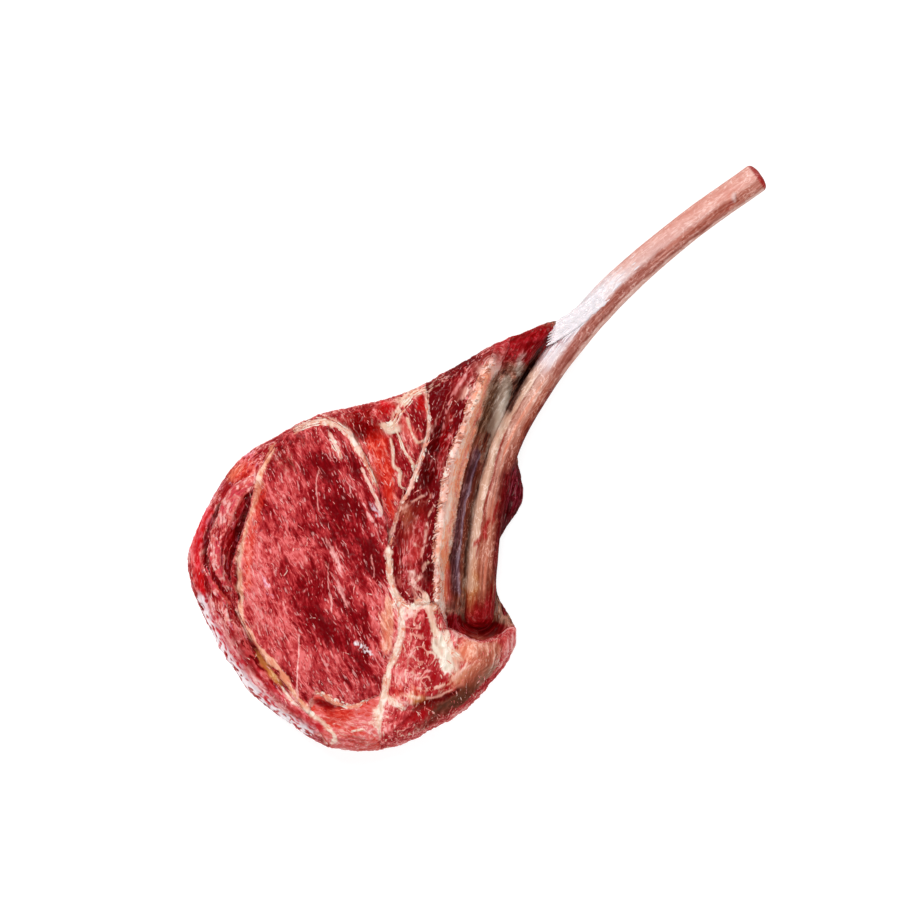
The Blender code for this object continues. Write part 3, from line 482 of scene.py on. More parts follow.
def noise(points, seed=0):
    """Smooth noise of about -1 to 1, with a grain one unit wide."""
    base = np.floor(points).astype(np.int64)
    f = points - base
    w = f * f * f * (f * (f * 6 - 15) + 10)
    total = 0.0
    for corner in np.ndindex(2, 2, 2):
        pull = scatter(*(base + corner).T, seed)
        weight = np.prod(np.where(corner, w, 1 - w), axis=1)
        total = total + weight * sum((2 * p - 1) * (f[:, i] - corner[i]) for i, p in enumerate(pull))
    return 1.6 * total


def layered(points, octaves, seed=0):
    """Noise with finer and weaker noise laid over it."""
    layers = (0.5**k * noise(points * 2.03**k, seed + 17 * k) for k in range(octaves))
    return sum(layers) / (2 - 0.5 ** (octaves - 1))


def creased(points, octaves, seed=0):
    """Rounded bundles with creases between them: 0 in a crease, 1 on a crest."""
    folds = (0.5**k * np.minimum(1.0, 2.2 * np.abs(noise(points * 2.1**k, seed + 31 * k)))
             for k in range(octaves))
    return sum(folds) / (2 - 0.5 ** (octaves - 1))


def filaments(points, seed=0, reach=0.16):
    """Thin winding threads: 1 on a thread, 0 away from it."""
    return np.exp(-(noise(points, seed) / reach) ** 2)


def along_line(points, line):
    """For each point of the plan: its distance from a line, the run along it and its side (+1 is left)."""
    best = np.full(len(points), np.inf)
    run = np.zeros(len(points))
    side = np.ones(len(points))
    start = 0.0
    for a, b in zip(line, line[1:]):
        step = b - a
        long = math.hypot(*step)
        part = np.clip((points - a) @ step / long**2, 0.0, 1.0)
        away = points - a - part[:, None] * step
        gap = np.hypot(away[:, 0], away[:, 1])
        near = gap < best
        best[near] = gap[near]
        run[near] = start + part[near] * long
        side[near] = np.sign(step[0] * away[near, 1] - step[1] * away[near, 0])
        start += long
    return best, run, side


def swaying(points, run, across, sway_by, wave, seed):
    """Places by the grain: the run along it, then the place across it and the height, both swaying."""
    sway = sway_by * layered(points / wave, 2, seed)
    return np.stack([run, across + sway, points[:, 2] + 0.6 * sway], 1)


def straight_grain(points, angle, sway_by):
    """Places by a grain that runs at one angle, in degrees."""
    c, s = math.cos(math.radians(angle)), math.sin(math.radians(angle))
    run = c * points[:, 0] + s * points[:, 1]
    across = c * points[:, 1] - s * points[:, 0]
    return swaying(points, run, across, sway_by, 18.0, 41)


def curved_grain(points, route, sway_by):
    """Places by a grain that follows a line of the plan."""
    away, run, side = along_line(points[:, :2], smooth_line(route))
    return swaying(points, run, away * side, sway_by, 12.0, 43)


def grain_direction(grain, points):
    """The unit vectors along the grain, level with the table."""
    here = grain(points)[:, 0]
    slopes = [grain(points + step)[:, 0] - here for step in ((0.5, 0, 0), (0, 0.5, 0))]
    slope = np.column_stack(slopes + [0 * here])
    return slope / np.maximum(np.linalg.norm(slope, axis=1), 1e-6)[:, None]


# ---- surfaces
def evaluated_mesh(thing):
    """The plain mesh that an object has once its modifiers are worked out."""
    return bpy.data.meshes.new_from_object(thing.evaluated_get(bpy.context.evaluated_depsgraph_get()))


def fine_copy(node, grid, passes):
    """A fine, even, closed mesh over one of the frame's solids, with its edges smoothed in some passes."""
    mesh = frame["nodes"][node].data.copy()
    bm = bmesh.new()
    bm.from_mesh(mesh)
    bmesh.ops.remove_doubles(bm, verts=bm.verts, dist=1e-6)
    bm.to_mesh(mesh)
    bm.free()
    mesh.materials.clear()
    thing = bpy.data.objects.new(node + "_rough", mesh)
    bpy.context.scene.collection.objects.link(thing)
    remesh = thing.modifiers.new("even", "REMESH")
    remesh.mode = "VOXEL"
    remesh.voxel_size = grid * MM * COARSE
    smooth = thing.modifiers.new("smooth", "SMOOTH")
    smooth.factor = 0.5
    smooth.iterations = passes
    fine = evaluated_mesh(thing)
    bpy.data.objects.remove(thing, do_unlink=True)
    bpy.data.meshes.remove(mesh)
    return fine


def read(mesh):
    """A mesh's points, in millimetres, and their normals."""
    points = np.empty(len(mesh.vertices) * 3, np.float32)
    mesh.vertices.foreach_get("co", points)
    normals = np.empty(len(mesh.vertices) * 3, np.float32)
    mesh.vertex_normals.foreach_get("vector", normals)
    return points.reshape(-1, 3).astype(float) / MM, normals.reshape(-1, 3).astype(float)


def write(mesh, points):
    """Puts a mesh's points at these places, in millimetres."""
    mesh.vertices.foreach_set("co", (points * MM).astype(np.float32).ravel())
    mesh.update()


def store(mesh, name, values, kind="FLOAT"):
    """Keeps a value for each point in an attribute of the mesh, for the materials and recipes."""
    attribute = mesh.attributes.new(name, kind, "POINT")
    field = {"FLOAT": "value", "FLOAT_VECTOR": "vector", "FLOAT_COLOR": "color"}[kind]
    attribute.data.foreach_set(field, np.asarray(values, np.float32).ravel())


def show(name, mesh, material, node=None):
    """Makes a mesh a piece of the steak, in place of a solid where one is named."""
    mesh.name = name
    mesh.materials.clear()
    mesh.materials.append(material)
    mesh.polygons.foreach_set("use_smooth", [True] * len(mesh.polygons))
    piece = bpy.data.objects.new(name, mesh)
    bpy.context.scene.collection.objects.link(piece)
    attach(piece, ROOT)
    if node:
        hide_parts(node)
    return piece


class Coat:
    """Colour laid over a surface in turns, with how strongly it covers and how far it lifts each point."""

    def __init__(self, count):
        self.colour = np.zeros((count, 3))
        self.cover = np.zeros(count)
        self.rise = np.zeros(count)
        self.tone = np.zeros(count)

    def lay(self, where, mask, name, lift=0.0):
        """Lays a colour over some of the points, each as strongly as the mask says."""
        self.rise[where] += mask * lift
        if name in TONE_SHIFT:
            self.tone[where] += mask * TONE_SHIFT[name]
            return
        share = mask[:, None]
        self.colour[where] = self.colour[where] * (1 - share) + share * seen(name) / LIGHT_GAIN
        self.cover[where] = self.cover[where] * (1 - mask) + mask

    def shown(self):
        """The colour at each point, as if it covered fully."""
        return self.colour / np.maximum(self.cover, 1e-4)[:, None]


def lay_seams(coat, node, points):
    """Fills the seams with the solid's neighbours, and gives how near each point is to one."""
    closeness = np.zeros(len(points))
    for other, thing in frame["nodes"].items():
        if other == node:
            continue
        low, high = (np.array(corner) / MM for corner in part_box(other))
        near = np.all((points > low - SEAM_REACH) & (points < high + SEAM_REACH), axis=1)
        where = np.nonzero(near)[0]
        if len(where) == 0:
            continue
        mesh = thing.data
        tree = BVHTree.FromPolygons([v.co for v in mesh.vertices], [p.vertices for p in mesh.polygons])
        gaps = np.full(len(where), 3 * SEAM_REACH)
        for i, place in enumerate((points[where] * MM).tolist()):
            gap = tree.find_nearest(place, SEAM_REACH * MM)[3]
            if gap is not None:
                gaps[i] = gap / MM
        pair = tuple(sorted((node, other)))
        name, width, strength = SEAM_FILL.get(pair, THREAD_OF_FAT)
        width = width * (1.0 + 0.5 * noise(points[where] / 4.0, 77))
        coat.lay(where, strength * np.exp(-(gaps / (width + 0.3)) ** 2), name)
        closeness[where] = np.maximum(closeness[where], np.exp(-(gaps / SEAM_SWELL) ** 2))
    return closeness


def lay_patches(coat, points, spot):
    """Lays the patches, where a point counts as standing at its spot."""
    for name, x, y, long, wide, turn, strength, lift in PATCHES:
        where = np.nonzero(np.max(np.abs(spot - (x, y)), axis=1) < 1.8 * long)[0]
        if len(where) == 0:
            continue
        c, s = math.cos(math.radians(turn)), math.sin(math.radians(turn))
        dx, dy = spot[where, 0] - x, spot[where, 1] - y
        square = ((c * dx + s * dy) / long) ** 2 + ((c * dy - s * dx) / wide) ** 2
        mask = strength * np.exp(-0.7 * square**1.3)
        if name in BROKEN_UP:
            mask *= blend(-0.45, 0.2, noise(points[where] / 1.1, 23))
        coat.lay(where, mask, name, lift)


def lay_strand(coat, points, spot, title):
    """Lays one strand: it swells and thins on its way, and fades at its ends, raggedly if it is broad."""
    name, width, strength, lift, *route = STRANDS[title]
    line = smooth_line(route)
    low, high = line.min(axis=0) - 2.5 * width, line.max(axis=0) + 2.5 * width
    where = np.nonzero(np.all((spot > low) & (spot < high), axis=1))[0]
    if len(where) == 0:
        return
    seed = len(title)
    away, run, _ = along_line(spot[where], line)
    total = np.hypot(*np.diff(line, axis=0).T).sum()
    height = points[where, 2]
    swell = 0.85 + 0.5 * noise(np.stack([run / 5.0, 0 * run + seed, 0 * run], 1), 3)
    broad = max(0.0, width - 2.0)
    shaken = 2.0 * broad * noise(np.stack([run / 5.0, 0 * run, height / 4.0], 1), 31)
    faded = 2.5 + 3.0 * broad
    taper = blend(-1.5, faded, run + shaken) * blend(-1.5, faded, total - run - shaken)
    reach = width * swell * (0.4 + 0.6 * taper)
    mask = strength * taper * np.exp(-0.7 * (away / reach) ** 3)
    if title in SPECKLED:
        mask *= blend(-0.35, 0.15, noise(np.stack([run / 2.6, away / 1.1, height / 2.0], 1), 19 + seed))
    coat.lay(where, mask, name, lift)


def lay_plan(coat, points):
    """Lays the patches and strands of the cut face, with uneven outlines."""
    bends = np.stack([layered(points / 5.0, 2, seed) for seed in (5, 6)], 1)
    nicks = np.stack([noise(points / 1.5, seed) for seed in (7, 8)], 1)
    ragged = bends * 1.6 + nicks * 0.45
    lay_patches(coat, points, points[:, :2] + ragged)
    for title in STRANDS:
        lay_strand(coat, points, points[:, :2] + 0.35 * ragged, title)


def finish_surface(mesh, node, grain, lump=1.0, furrow=1.0, bundle=1.0, fibre=1.0, seed=0, swell=1.0,
                   sizes=(22.0, 5.0), cell=(6.5, 2.3), seal=2.4, walls=0.35, fat=1.0, net=0.0,
                   mesh_of_net=(7.0, 3.5), brighten=1.0, under=None):
    """Gives a fine mesh its relief and its patches, strands and seams.

    Lump, furrow, bundle, fibre and swell are shares of the settings' heights, and seal is how much more the
    flesh swells at a seam. Sizes, cell and mesh_of_net are the length and width of a furrow, a bundle and a
    mesh of the net of fat, in millimetres. Walls, fat and net are the strength of the laid colours on upright
    sides, of the flecks and of the net. Brighten is the strength of the painted light that makes the laid
    colours paler on upright sides, which the lamps light less. Under lays a first coat.
    """
    points, normals = read(mesh)
    along = grain_direction(grain, points)
    grain = grain(points)

    def winding(warp, long, wide, number, *reach):
        return filaments((grain + warp) / (long, wide, wide), seed + number, *reach)

    lumps = layered(points / 13.0, 2, seed + 1)
    furrows = creased(grain / (sizes[0], sizes[1], sizes[1]), 2, seed + 2) - 0.5
    warp = np.stack([noise(points / 3.0, seed + number) for number in (5, 6, 7)], 1)
    threads = winding(0.55 * warp, *cell, 3)
    curls = winding(0.9 * warp[:, ::-1], 0.6 * cell[0], cell[1], 9)
    broken = blend(-0.35, 0.45, noise(points / 4.5, seed + 11))
    bundles = threads * (0.3 + 0.7 * broken) + 0.8 * curls * (1.0 - 0.8 * broken)
    fibres = layered(grain / (2.4, 1.1, 1.1), 2, seed + 4)

    coat = Coat(len(points))
    if under:
        under(coat, points)
    if net:
        gathered = blend(-0.3, 0.4, noise(points / 8.0, seed + 17))
        mask = net * winding(0.8 * warp, *mesh_of_net, 15, 0.11)**1.5 * (0.25 + 0.75 * gathered)
        coat.lay(np.arange(len(points)), mask, "net fat", NET_RISE)
    closeness = lay_seams(coat, node, points)
    lay_plan(coat, points)

    upward = blend(0.15, 0.75, np.abs(normals[:, 2]))
    calm = 1.0 - 0.5 * blend(0.6, 1.0, coat.cover)
    height = size("swell") * (swell + seal * closeness) + lump * size("lump") * lumps * (1 - 0.5 * closeness)
    height += calm * (furrow * size("furrow") * furrows + bundle * size("bundle") * bundles)
    height += calm * fibre * size("fibre") * fibres + coat.rise * upward
    eased = UNDERSIDE_SHARE + (1.0 - UNDERSIDE_SHARE) * blend(0.0, 2.0, points[:, 2])
    moved = points + normals * (height * eased)[:, None]
    moved[:, 2] = np.maximum(moved[:, 2], 0.0)
    write(mesh, moved)

    # Painted highlight: the tone is paler on the lumps, under the deeper and paler patches.
    tone = 0.3 * lumps + coat.tone
    gathered = blend(-0.2, 0.6, noise(points / 9.0, seed + 12)) * blend(-0.45, 0.3, tone)
    bare = 1.0 - 0.7 * blend(0.3, 0.8, coat.cover)
    # Painted light: the laid colours are made paler on upright sides, which the lamps light less.
    painted_side_light = brighten * (LIGHT_GAIN - 1.0) * (1.0 - upward[:, None])
    paint = np.minimum(coat.shown() * (1.0 + painted_side_light), PALEST)
    store(mesh, "grain", grain, "FLOAT_VECTOR")
    store(mesh, "along", along, "FLOAT_VECTOR")
    # Painted shade and highlight: the tone is darker in the furrows' creases and paler on their crests.
    store(mesh, "tone", tone + 0.3 * furrow * furrows)
    store(mesh, "thread", bundle * bundles)
    store(mesh, "fat", fat * gathered * upward * bare * (points[:, 2] > LOWEST_FLECK))
    store(mesh, "cover", coat.cover * (walls + (1.0 - walls) * upward))
    store(mesh, "paint", np.concatenate([paint, np.ones((len(points), 1))], 1), "FLOAT_COLOR")


# ---- node trees
class Graph:
    """Adds nodes to a tree, and wires or sets each input."""

    def __init__(self, tree):
        self.tree = tree
        tree.nodes.clear()

    def add(self, kind, inputs=(), **choices):
        """Adds a node, sets its choices and wires or sets its inputs."""
        node = self.tree.nodes.new(kind)
        for name, value in choices.items():
            setattr(node, name, value)
        for key, value in dict(inputs).items():
            if isinstance(value, bpy.types.NodeSocket):
                self.tree.links.new(value, node.inputs[key])
            else:
                node.inputs[key].default_value = value
        return node

    def attribute(self, name, output):
        """An attribute that the surface's points hold."""
        return self.add("ShaderNodeAttribute", attribute_name=name).outputs[output]

    def math(self, operation, *values):
        """The result of one operation, such as MULTIPLY."""
        return self.add("ShaderNodeMath", dict(enumerate(values)), operation=operation).outputs[0]

    def sum(self, *weighted):
        """The sum of values, each with its weight."""
        total = 0.0
        for value, weight in weighted:
            total = self.math("MULTIPLY_ADD", value, weight, total)
        return total

    def millimetres(self):
        """The place on the object, in millimetres."""
        return self.scaled(self.add("ShaderNodeTexCoord").outputs["Object"], (1000.0, 1000.0, 1000.0))

    def scaled(self, vector, scale):
        """A place scaled along each axis."""
        return self.add("ShaderNodeMapping", {"Vector": vector, "Scale": scale}).outputs[0]

    def noise(self, vector, scale=1.0, detail=3.0, roughness=0.5, distortion=0.0):
        """Noise from 0 to 1 with this many waves in each unit of the place."""
        return self.add("ShaderNodeTexNoise", {"Vector": vector, "Scale": scale, "Detail": detail,
                                               "Roughness": roughness, "Distortion": distortion}).outputs[0]

    def ramp(self, value, *stops):
        """Colours or greys at these places, blended from each to the next."""
        node = self.add("ShaderNodeValToRGB", {"Fac": value})
        marks = node.color_ramp.elements
        while len(marks) < len(stops):
            marks.new(0.5)
        for mark, (place, _) in zip(marks, stops):
            mark.position = place
        for mark, (_, colour) in zip(marks, stops):
            mark.color = colour if isinstance(colour, tuple) else (colour, colour, colour, 1.0)
        return node.outputs[0]

    def range(self, value, low, high, to_low=0.0, to_high=1.0):
        """A smooth step between two values."""
        return self.add("ShaderNodeMapRange", {"Value": value, "From Min": low, "From Max": high,
                                               "To Min": to_low, "To Max": to_high},
                        interpolation_type="SMOOTHSTEP").outputs[0]

    def mix(self, part, first, second):
        """The first colour with this part of the second."""
        return self.add("ShaderNodeMix", {0: part, 6: first, 7: second}, data_type="RGBA").outputs[2]

    def relief(self, height, strength, distance):
        """The normal of a surface with this relief, its depth in metres."""
        return self.add("ShaderNodeBump", {"Height": height, "Strength": strength,
                                           "Distance": distance}).outputs[0]

    def surface(self, **inputs):
        """Ends a material in a shader whose inputs are given by name, with _ for a space."""
        shader = self.add("ShaderNodeBsdfPrincipled", {key.replace("_", " "): v for key, v in inputs.items()})
        self.add("ShaderNodeOutputMaterial", {"Surface": shader.outputs[0]})


def new_material(name):
    """A material with an empty tree, and the graph that fills it."""
    material = bpy.data.materials.new(name)
    material.use_nodes = True
    return material, Graph(material.node_tree)


def flesh(name, tones, marble, marbling=0.5, streak=(0.11, 0.7), torn=0.55, grainy=0.65, lift=0.0):
    """Raw flesh: five tones of fibres along the grain, pale strokes and the laid colours, under a wet film.

    Streak is how many streaks a millimetre has along and across the grain, torn is how much the laid colours'
    edges break up, grainy is the contrast of the streaks, and lift makes all of it paler.
    """
    material, g = new_material(name)
    grain = g.attribute("grain", "Vector")
    tone = g.attribute("tone", "Fac")
    place = g.millimetres()

    def by_grain(along, across, **look):
        return g.noise(g.scaled(grain, (along, across, across)), **look)

    # the lean flesh
    fibre = by_grain(*streak, detail=4.0, roughness=0.6, distortion=0.3)
    fine = by_grain(0.32, 1.3, detail=2.0, roughness=0.55)
    grit = g.noise(place, 0.6, detail=2.0, roughness=0.5)
    patchy = by_grain(0.05, 0.16, detail=3.0)
    hairs = by_grain(0.2, 0.55, detail=2.0, roughness=0.5, distortion=0.5)
    hair = g.range(g.math("ABSOLUTE", g.math("SUBTRACT", hairs, 0.5)), 0.05, 0.0)
    rich = g.range(g.sum((tone, 1.0), (patchy, 1.0)), 0.1, 0.85, 0.15, 1.1)
    lines = g.math("MULTIPLY", rich, g.sum((g.attribute("thread", "Fac"), 0.42), (hair, 0.36)))
    grains = g.sum((tone, 0.65), (fibre, grainy), (fine, 0.45), (grit, 0.2), (patchy, 0.3))
    level = g.math("SUBTRACT", g.math("ADD", lines, grains), 0.155 + 0.5 * grainy - lift)
    lean = g.ramp(level, *((at, shade(tone_name)) for at, tone_name in zip(TONE_PLACES, tones)))

    # the laid colours, which vary with the flesh under them and end in a torn edge
    painted = g.add("ShaderNodeGamma", {"Color": g.attribute("paint", "Color"),
                                        "Gamma": g.range(level, 0.0, 1.0, 1.5, 0.55)}).outputs[0]
    cover = g.sum((g.attribute("cover", "Fac"), 1.0), (fine, torn), (grit, 0.5 * torn))
    half = 0.5 + 0.75 * torn
    strength = g.range(cover, half - 0.24, half + 0.2)
    colour = g.mix(strength, lean, painted)

    # the marbling's short strokes
    gather = g.range(g.noise(place, 0.17, detail=2.0), 0.4, 0.62)
    strokes = by_grain(0.28, 1.2, detail=1.5, roughness=0.6, distortion=0.2)
    flecks = g.range(g.sum((strokes, 1.0), (gather, 0.06), (tone, 0.12)), 0.63, 0.73)
    fat = g.math("MULTIPLY", flecks, g.math("SUBTRACT", 1.0, g.math("MULTIPLY", strength, 0.6)))
    colour = g.mix(g.math("MULTIPLY", fat, marbling), colour, shade(marble))

    height = g.sum((fine, 0.7), (grit, 0.7), (fibre, 0.4), (hair, 0.35))
    film = by_grain(0.13, 0.4, detail=1.0)
    g.surface(Base_Color=colour, Roughness=g.range(patchy, 0.3, 0.7, 0.45, 0.65),
              Normal=g.relief(height, 0.2, 0.0008), Coat_Normal=g.relief(film, 0.6, 0.0012), Coat_Weight=0.08,
              Coat_Roughness=0.15, Specular_IOR_Level=0.0, Subsurface_Weight=0.04,
              Subsurface_Radius=(1.0, 0.25, 0.15), Subsurface_Scale=0.0012)
    return material


# ---- pieces
DRESSED = []  # the dressed surfaces, which threads and flecks lie on


def dress(node, name, slot, look, grid=0.46, passes=18, **relief):
    """Puts a dressed surface in a solid's place."""
    mesh = fine_copy(node, grid, passes)
    finish_surface(mesh, node, **relief)
    DRESSED.append(show(name, mesh, look, node))


def dress_eye():
    look = flesh("eye flesh", ("maroon", "wine", "red", "rose", "pink"), "blush", 0.6, grainy=0.75)
    dress("eye_muscle", "eye_of_rib", "red_meat", look, grid=0.52, grain=lambda p: straight_grain(p, 69, 2.5),
          seed=10, net=0.35, mesh_of_net=(9.0, 2.8))


def dress_cap():
    look = flesh("cap flesh", ("maroon", "blood", "red", "coral", "blush"), "lilac", streak=(0.1, 0.8))
    dress("cap_muscle", "rib_cap", "cap_meat", look, grain=lambda p: curved_grain(p, CAP_RUN, 1.0),
          furrow=1.3, bundle=0.9, seed=20, sizes=(20.0, 3.4), cell=(5.0, 1.8), walls=0.65, fat=0.5, net=0.6,
          mesh_of_net=(8.0, 2.2))


def dress_tail():
    look = flesh("tail flesh", ("red", "vermilion", "coral", "pink", "blush"), "rosy fat", 0.5)
    dress("tail_muscle", "tail_end", "red_meat", look, grain=lambda p: straight_grain(p, -60, 2.0), seed=30,
          fat=0.5, net=0.7, mesh_of_net=(9.0, 2.4))


def dress_wedge():
    look = flesh("wedge flesh", ("wine", "red", "rose", "coral", "blush"), "rosy fat", 0.5, lift=-0.18)
    dress("wedge_muscle", "wedge_meat", "red_meat", look, grain=lambda p: straight_grain(p, 64, 2.0), seed=40,
          fat=0.2, net=0.6, mesh_of_net=(12.0, 2.6), walls=0.8)


def dress_lobe():
    look = flesh("rib flesh", ("maroon", "maroon", "wine", "brick", "pink"), "blush", 0.7, lift=-0.12)
    dress("rib_lobe", "rib_side_meat", "red_meat", look, grain=lambda p: curved_grain(p, CREST, 1.5), seed=50,
          sizes=(16.0, 4.0), fat=0.08, net=0.6, mesh_of_net=(9.0, 3.0))


def dress_ridge():
    look = flesh("ridge fat", ("clay", "salmon", "apricot", "rosy fat", "cream"), "cream", 0.5, lift=0.2)
    dress("fat_ridge", "fat_ridge_strip", "fat", look, passes=14, grain=lambda p: curved_grain(p, CREST, 0.5),
          lump=0.6, furrow=0.5, seed=60, sizes=(8.0, 3.0), cell=(1.6, 2.6), walls=1.0)


def dress_bed():
    look = flesh("membrane", ("umber", "brown", "taupe", "clay", "tan"), "pearl", 0.25, streak=(0.04, 0.8),
                 torn=0.4, grainy=1.5)
    dress("rib_bed", "rib_membrane", "membrane", look, passes=14, grain=lambda p: curved_grain(p, RIB, 0.6),
          lump=0.6, furrow=0.8, bundle=0.3, seed=70, sizes=(40.0, 2.6), cell=(9.0, 1.6), walls=1.0)


def dress_chine():
    look = flesh("chine flesh", ("blood", "red", "rose", "pink", "blush"), "ivory", 0.8, grainy=0.85)
    dress("chine_meat", "chine_side", "fatty_meat", look, grain=lambda p: straight_grain(p, 40, 6.0), seed=80,
          sizes=(14.0, 4.5), fat=0.12, net=0.95, mesh_of_net=(6.0, 3.6))


def lay_rib(coat, points):
    """The rib's colours: pink on its far side, brown-red on its near side, silvery where the sinew is, and
    striped with tan and red where it lies in the meat. Run is the way along the rib from its free end, and
    across goes from about -1 on the far side to 1 on the near one."""
    away, run, side = along_line(points[:, :2], smooth_line(RIB))
    lane = np.stack([run / 9.0, away * side / 4.0, points[:, 2] / 4.0], 1)
    across = away * side / 6.3 + 0.16 * layered(lane, 3, 51)
    everywhere = np.arange(len(points))
    stripes = noise(np.stack([run / 30.0, away * side / 1.1, points[:, 2] / 1.5], 1), 53)

    def lay(mask, name):
        coat.lay(everywhere, mask, name)

    lay(np.full(len(points), 0.95), "bone pink")
    lay(0.75 * blend(70.0, 10.0, run + 25 * across), "bone rose")
    lay(0.35 * blend(-0.5, -0.9, across), "bone rose")
    lay(0.85 * blend(-0.12, 0.3, across), "bone clay")
    lay(0.5 * blend(0.0, 0.2, across) * blend(0.1, 0.5, stripes), "bone rose")
    lay(0.8 * blend(0.78, 0.92, across) * blend(135.0, 110.0, run), "rosy fat")
    sinew = blend(60.0, 84.0, run + 6 * across + 5 * stripes) * blend(126.0, 116.0, run)
    sinew = sinew * blend(0.15, -0.2, across)
    lay(0.95 * sinew, "sinew")
    hairs = noise(np.stack([run / 16.0, away * side / 0.7, points[:, 2] / 1.2], 1), 57)
    lay(0.7 * sinew * blend(0.3, 0.5, hairs), "sinew grey")
    inside = blend(116.0, 132.0, run)
    lay(0.9 * inside, "rib tan")
    lay(0.7 * inside * blend(0.0, 0.5, -stripes) * blend(-0.2, 0.1, across), "salmon")
    lay(0.9 * inside * blend(-0.25, -0.42, across), "tan")
    lay(0.7 * inside * blend(0.1, 0.04, np.abs(across + 0.34)), "brown")
    lay(0.8 * inside * blend(-0.1, 0.4, stripes) * blend(-0.4, -0.2, across), "bone clay")
    lay(0.8 * inside * blend(0.35, 0.6, across), "bone clay")
    lay(0.6 * inside * blend(165.0, 195.0, run) * blend(-0.5, 0.1, across), "clay")
    lay(0.8 * inside * blend(0.75, 0.95, across), "maroon")
    lay(0.8 * blend(170.0, 200.0, run) * blend(-0.1, 0.5, stripes), "brown")
    lay(0.7 * blend(196.0, 214.0, run + 14 * stripes), "clay")
    lay(0.8 * blend(205.0, 219.0, run + 12 * stripes), "brown")
    lay(0.95 * blend(216.0, 226.0, run + 8 * stripes), "wine")
    lay(0.9 * blend(0.9, -0.1, run), "blood")


def dress_bone():
    look = flesh("rib bone", ("bone clay", "bone rose", "bone pink", "bone pink", "cream"), "cream", 0.15,
                 streak=(0.03, 0.9), torn=0.3, grainy=0.7, lift=0.1)
    dress("rib_bone", "rib_bone_handle", "bone", look, passes=8, grain=lambda p: curved_grain(p, RIB, 0.3),
          lump=0.25, furrow=0.18, bundle=0.1, fibre=0.4, seed=90, swell=0.1, seal=0.2, brighten=0.0,
          sizes=(60.0, 1.8), cell=(12.0, 1.2), walls=1.0, under=lay_rib)


# ---- details that lie on the surfaces
class Recipe(Graph):
    """A Geometry Nodes tree with named inputs, which makes one plain mesh out of an object."""

    def __init__(self, name, **inputs):
        tree = bpy.data.node_groups.new(name, "GeometryNodeTree")
        super().__init__(tree)
        tree.interface.new_socket("Geometry", in_out="OUTPUT", socket_type="NodeSocketGeometry")
        tree.interface.new_socket("Geometry", in_out="INPUT", socket_type="NodeSocketGeometry")
        self.values = {}
        for label, (kind, value) in inputs.items():
            socket = tree.interface.new_socket(label, in_out="INPUT", socket_type="NodeSocket" + kind)
            self.values[socket.identifier] = value
        self.given = self.add("NodeGroupInput").outputs

    def step(self, kind, inputs=(), output=0, **choices):
        """Adds a node and gives one of its outputs."""
        return self.add(kind, inputs, **choices).outputs[output]

    def resampled(self):
        """The given curves, with points at even steps along them."""
        return self.step("GeometryNodeResampleCurve", {"Curve": self.given["Geometry"],
                                                       "Length": self.given["Spacing"]}, mode="LENGTH")

    def swayed(self, geometry, scale, reach):
        """The geometry with its points moved about by noise of this many waves a metre."""
        colour = self.step("ShaderNodeTexNoise", {"Scale": scale, "Detail": 1.0}, "Color")
        centred = self.step("ShaderNodeVectorMath", {0: colour, 1: (0.5, 0.5, 0.5)}, operation="SUBTRACT")
        offset = self.step("ShaderNodeVectorMath", {0: centred, "Scale": reach}, operation="SCALE")
        return self.step("GeometryNodeSetPosition", {"Geometry": geometry, "Offset": offset})

    def random(self, low, high, seed):
        """A random number between two, for each point."""
        return self.step("FunctionNodeRandomValue", {2: low, 3: high, "Seed": seed}, 1, data_type="FLOAT")

    def mesh_from(self, source, geometry, material):
        """The plain mesh that the tree makes of an object, which is removed. Its faces point outward."""
        realized = self.step("GeometryNodeRealizeInstances", {"Geometry": geometry})
        done = self.step("GeometryNodeSetMaterial", {"Geometry": realized, "Material": material})
        self.add("NodeGroupOutput", {"Geometry": done})
        last = source.modifiers.new(self.tree.name, "NODES")
        last.node_group = self.tree
        for identifier, value in self.values.items():
            last[identifier] = value
        mesh = evaluated_mesh(source)
        source.modifiers.remove(last)
        data = source.data
        bpy.data.objects.remove(source, do_unlink=True)
        bpy.data.batch_remove((data,))
        bm = bmesh.new()
        bm.from_mesh(mesh)
        bmesh.ops.recalc_face_normals(bm, faces=bm.faces)
        bm.to_mesh(mesh)
        bm.free()
        return mesh


def fatty(name, low, mid, high, wet=0.3, reach=(0.36, 0.66)):
    """Soft fat or gristle in three tones. Reach is where the noise starts and ends passing through them."""
    material, g = new_material(name)
    place = g.millimetres()
    level = g.sum((g.noise(place, 0.35, detail=3.0), 1.0), (g.attribute("shade", "Fac"), 0.5))
    colour = g.ramp(g.range(level, *reach), (0.1, shade(low)), (0.5, shade(mid)), (0.9, shade(high)))
    g.surface(Base_Color=colour, Roughness=0.5, Normal=g.relief(g.noise(place, 1.2, detail=2.0), 0.4, 0.0005),
              Coat_Weight=wet, Coat_Roughness=0.12, Specular_IOR_Level=0.1, Subsurface_Weight=0.06,
              Subsurface_Radius=(1.0, 0.5, 0.35), Subsurface_Scale=0.0012)
    return material


def top_at(x, y):
    """Height of the dressed steak over a place of the plan, all in millimetres, and the piece there."""
    top, piece = None, None
    for thing in DRESSED:
        hit, place, _, _ = thing.ray_cast(Vector((x * MM, y * MM, ABOVE_ALL)), Vector((0, 0, -1)))
        if hit and (top is None or place.z / MM > top):
            top, piece = place.z / MM, thing
    return top, piece


def lain(line, sink):
    """A line of the plan laid over the steak, in metres, with the share of the way along it."""
    if not DRESSED:
        raise RuntimeError("The surfaces have to be dressed before anything is laid on them")
    plan, run = spaced(line, LAID_STEP)
    heights = [top_at(*place)[0] for place in plan]
    kept = [i for i, height in enumerate(heights) if height is not None]
    if len(kept) < 4:
        return None
    height = np.interp(run, run[kept], [heights[i] for i in kept])
    for _ in range(2):
        height[1:-1] = (height[:-2] + 2 * height[1:-1] + height[2:]) / 4
    return np.column_stack([plan, height - sink]) * MM, run / run[-1]


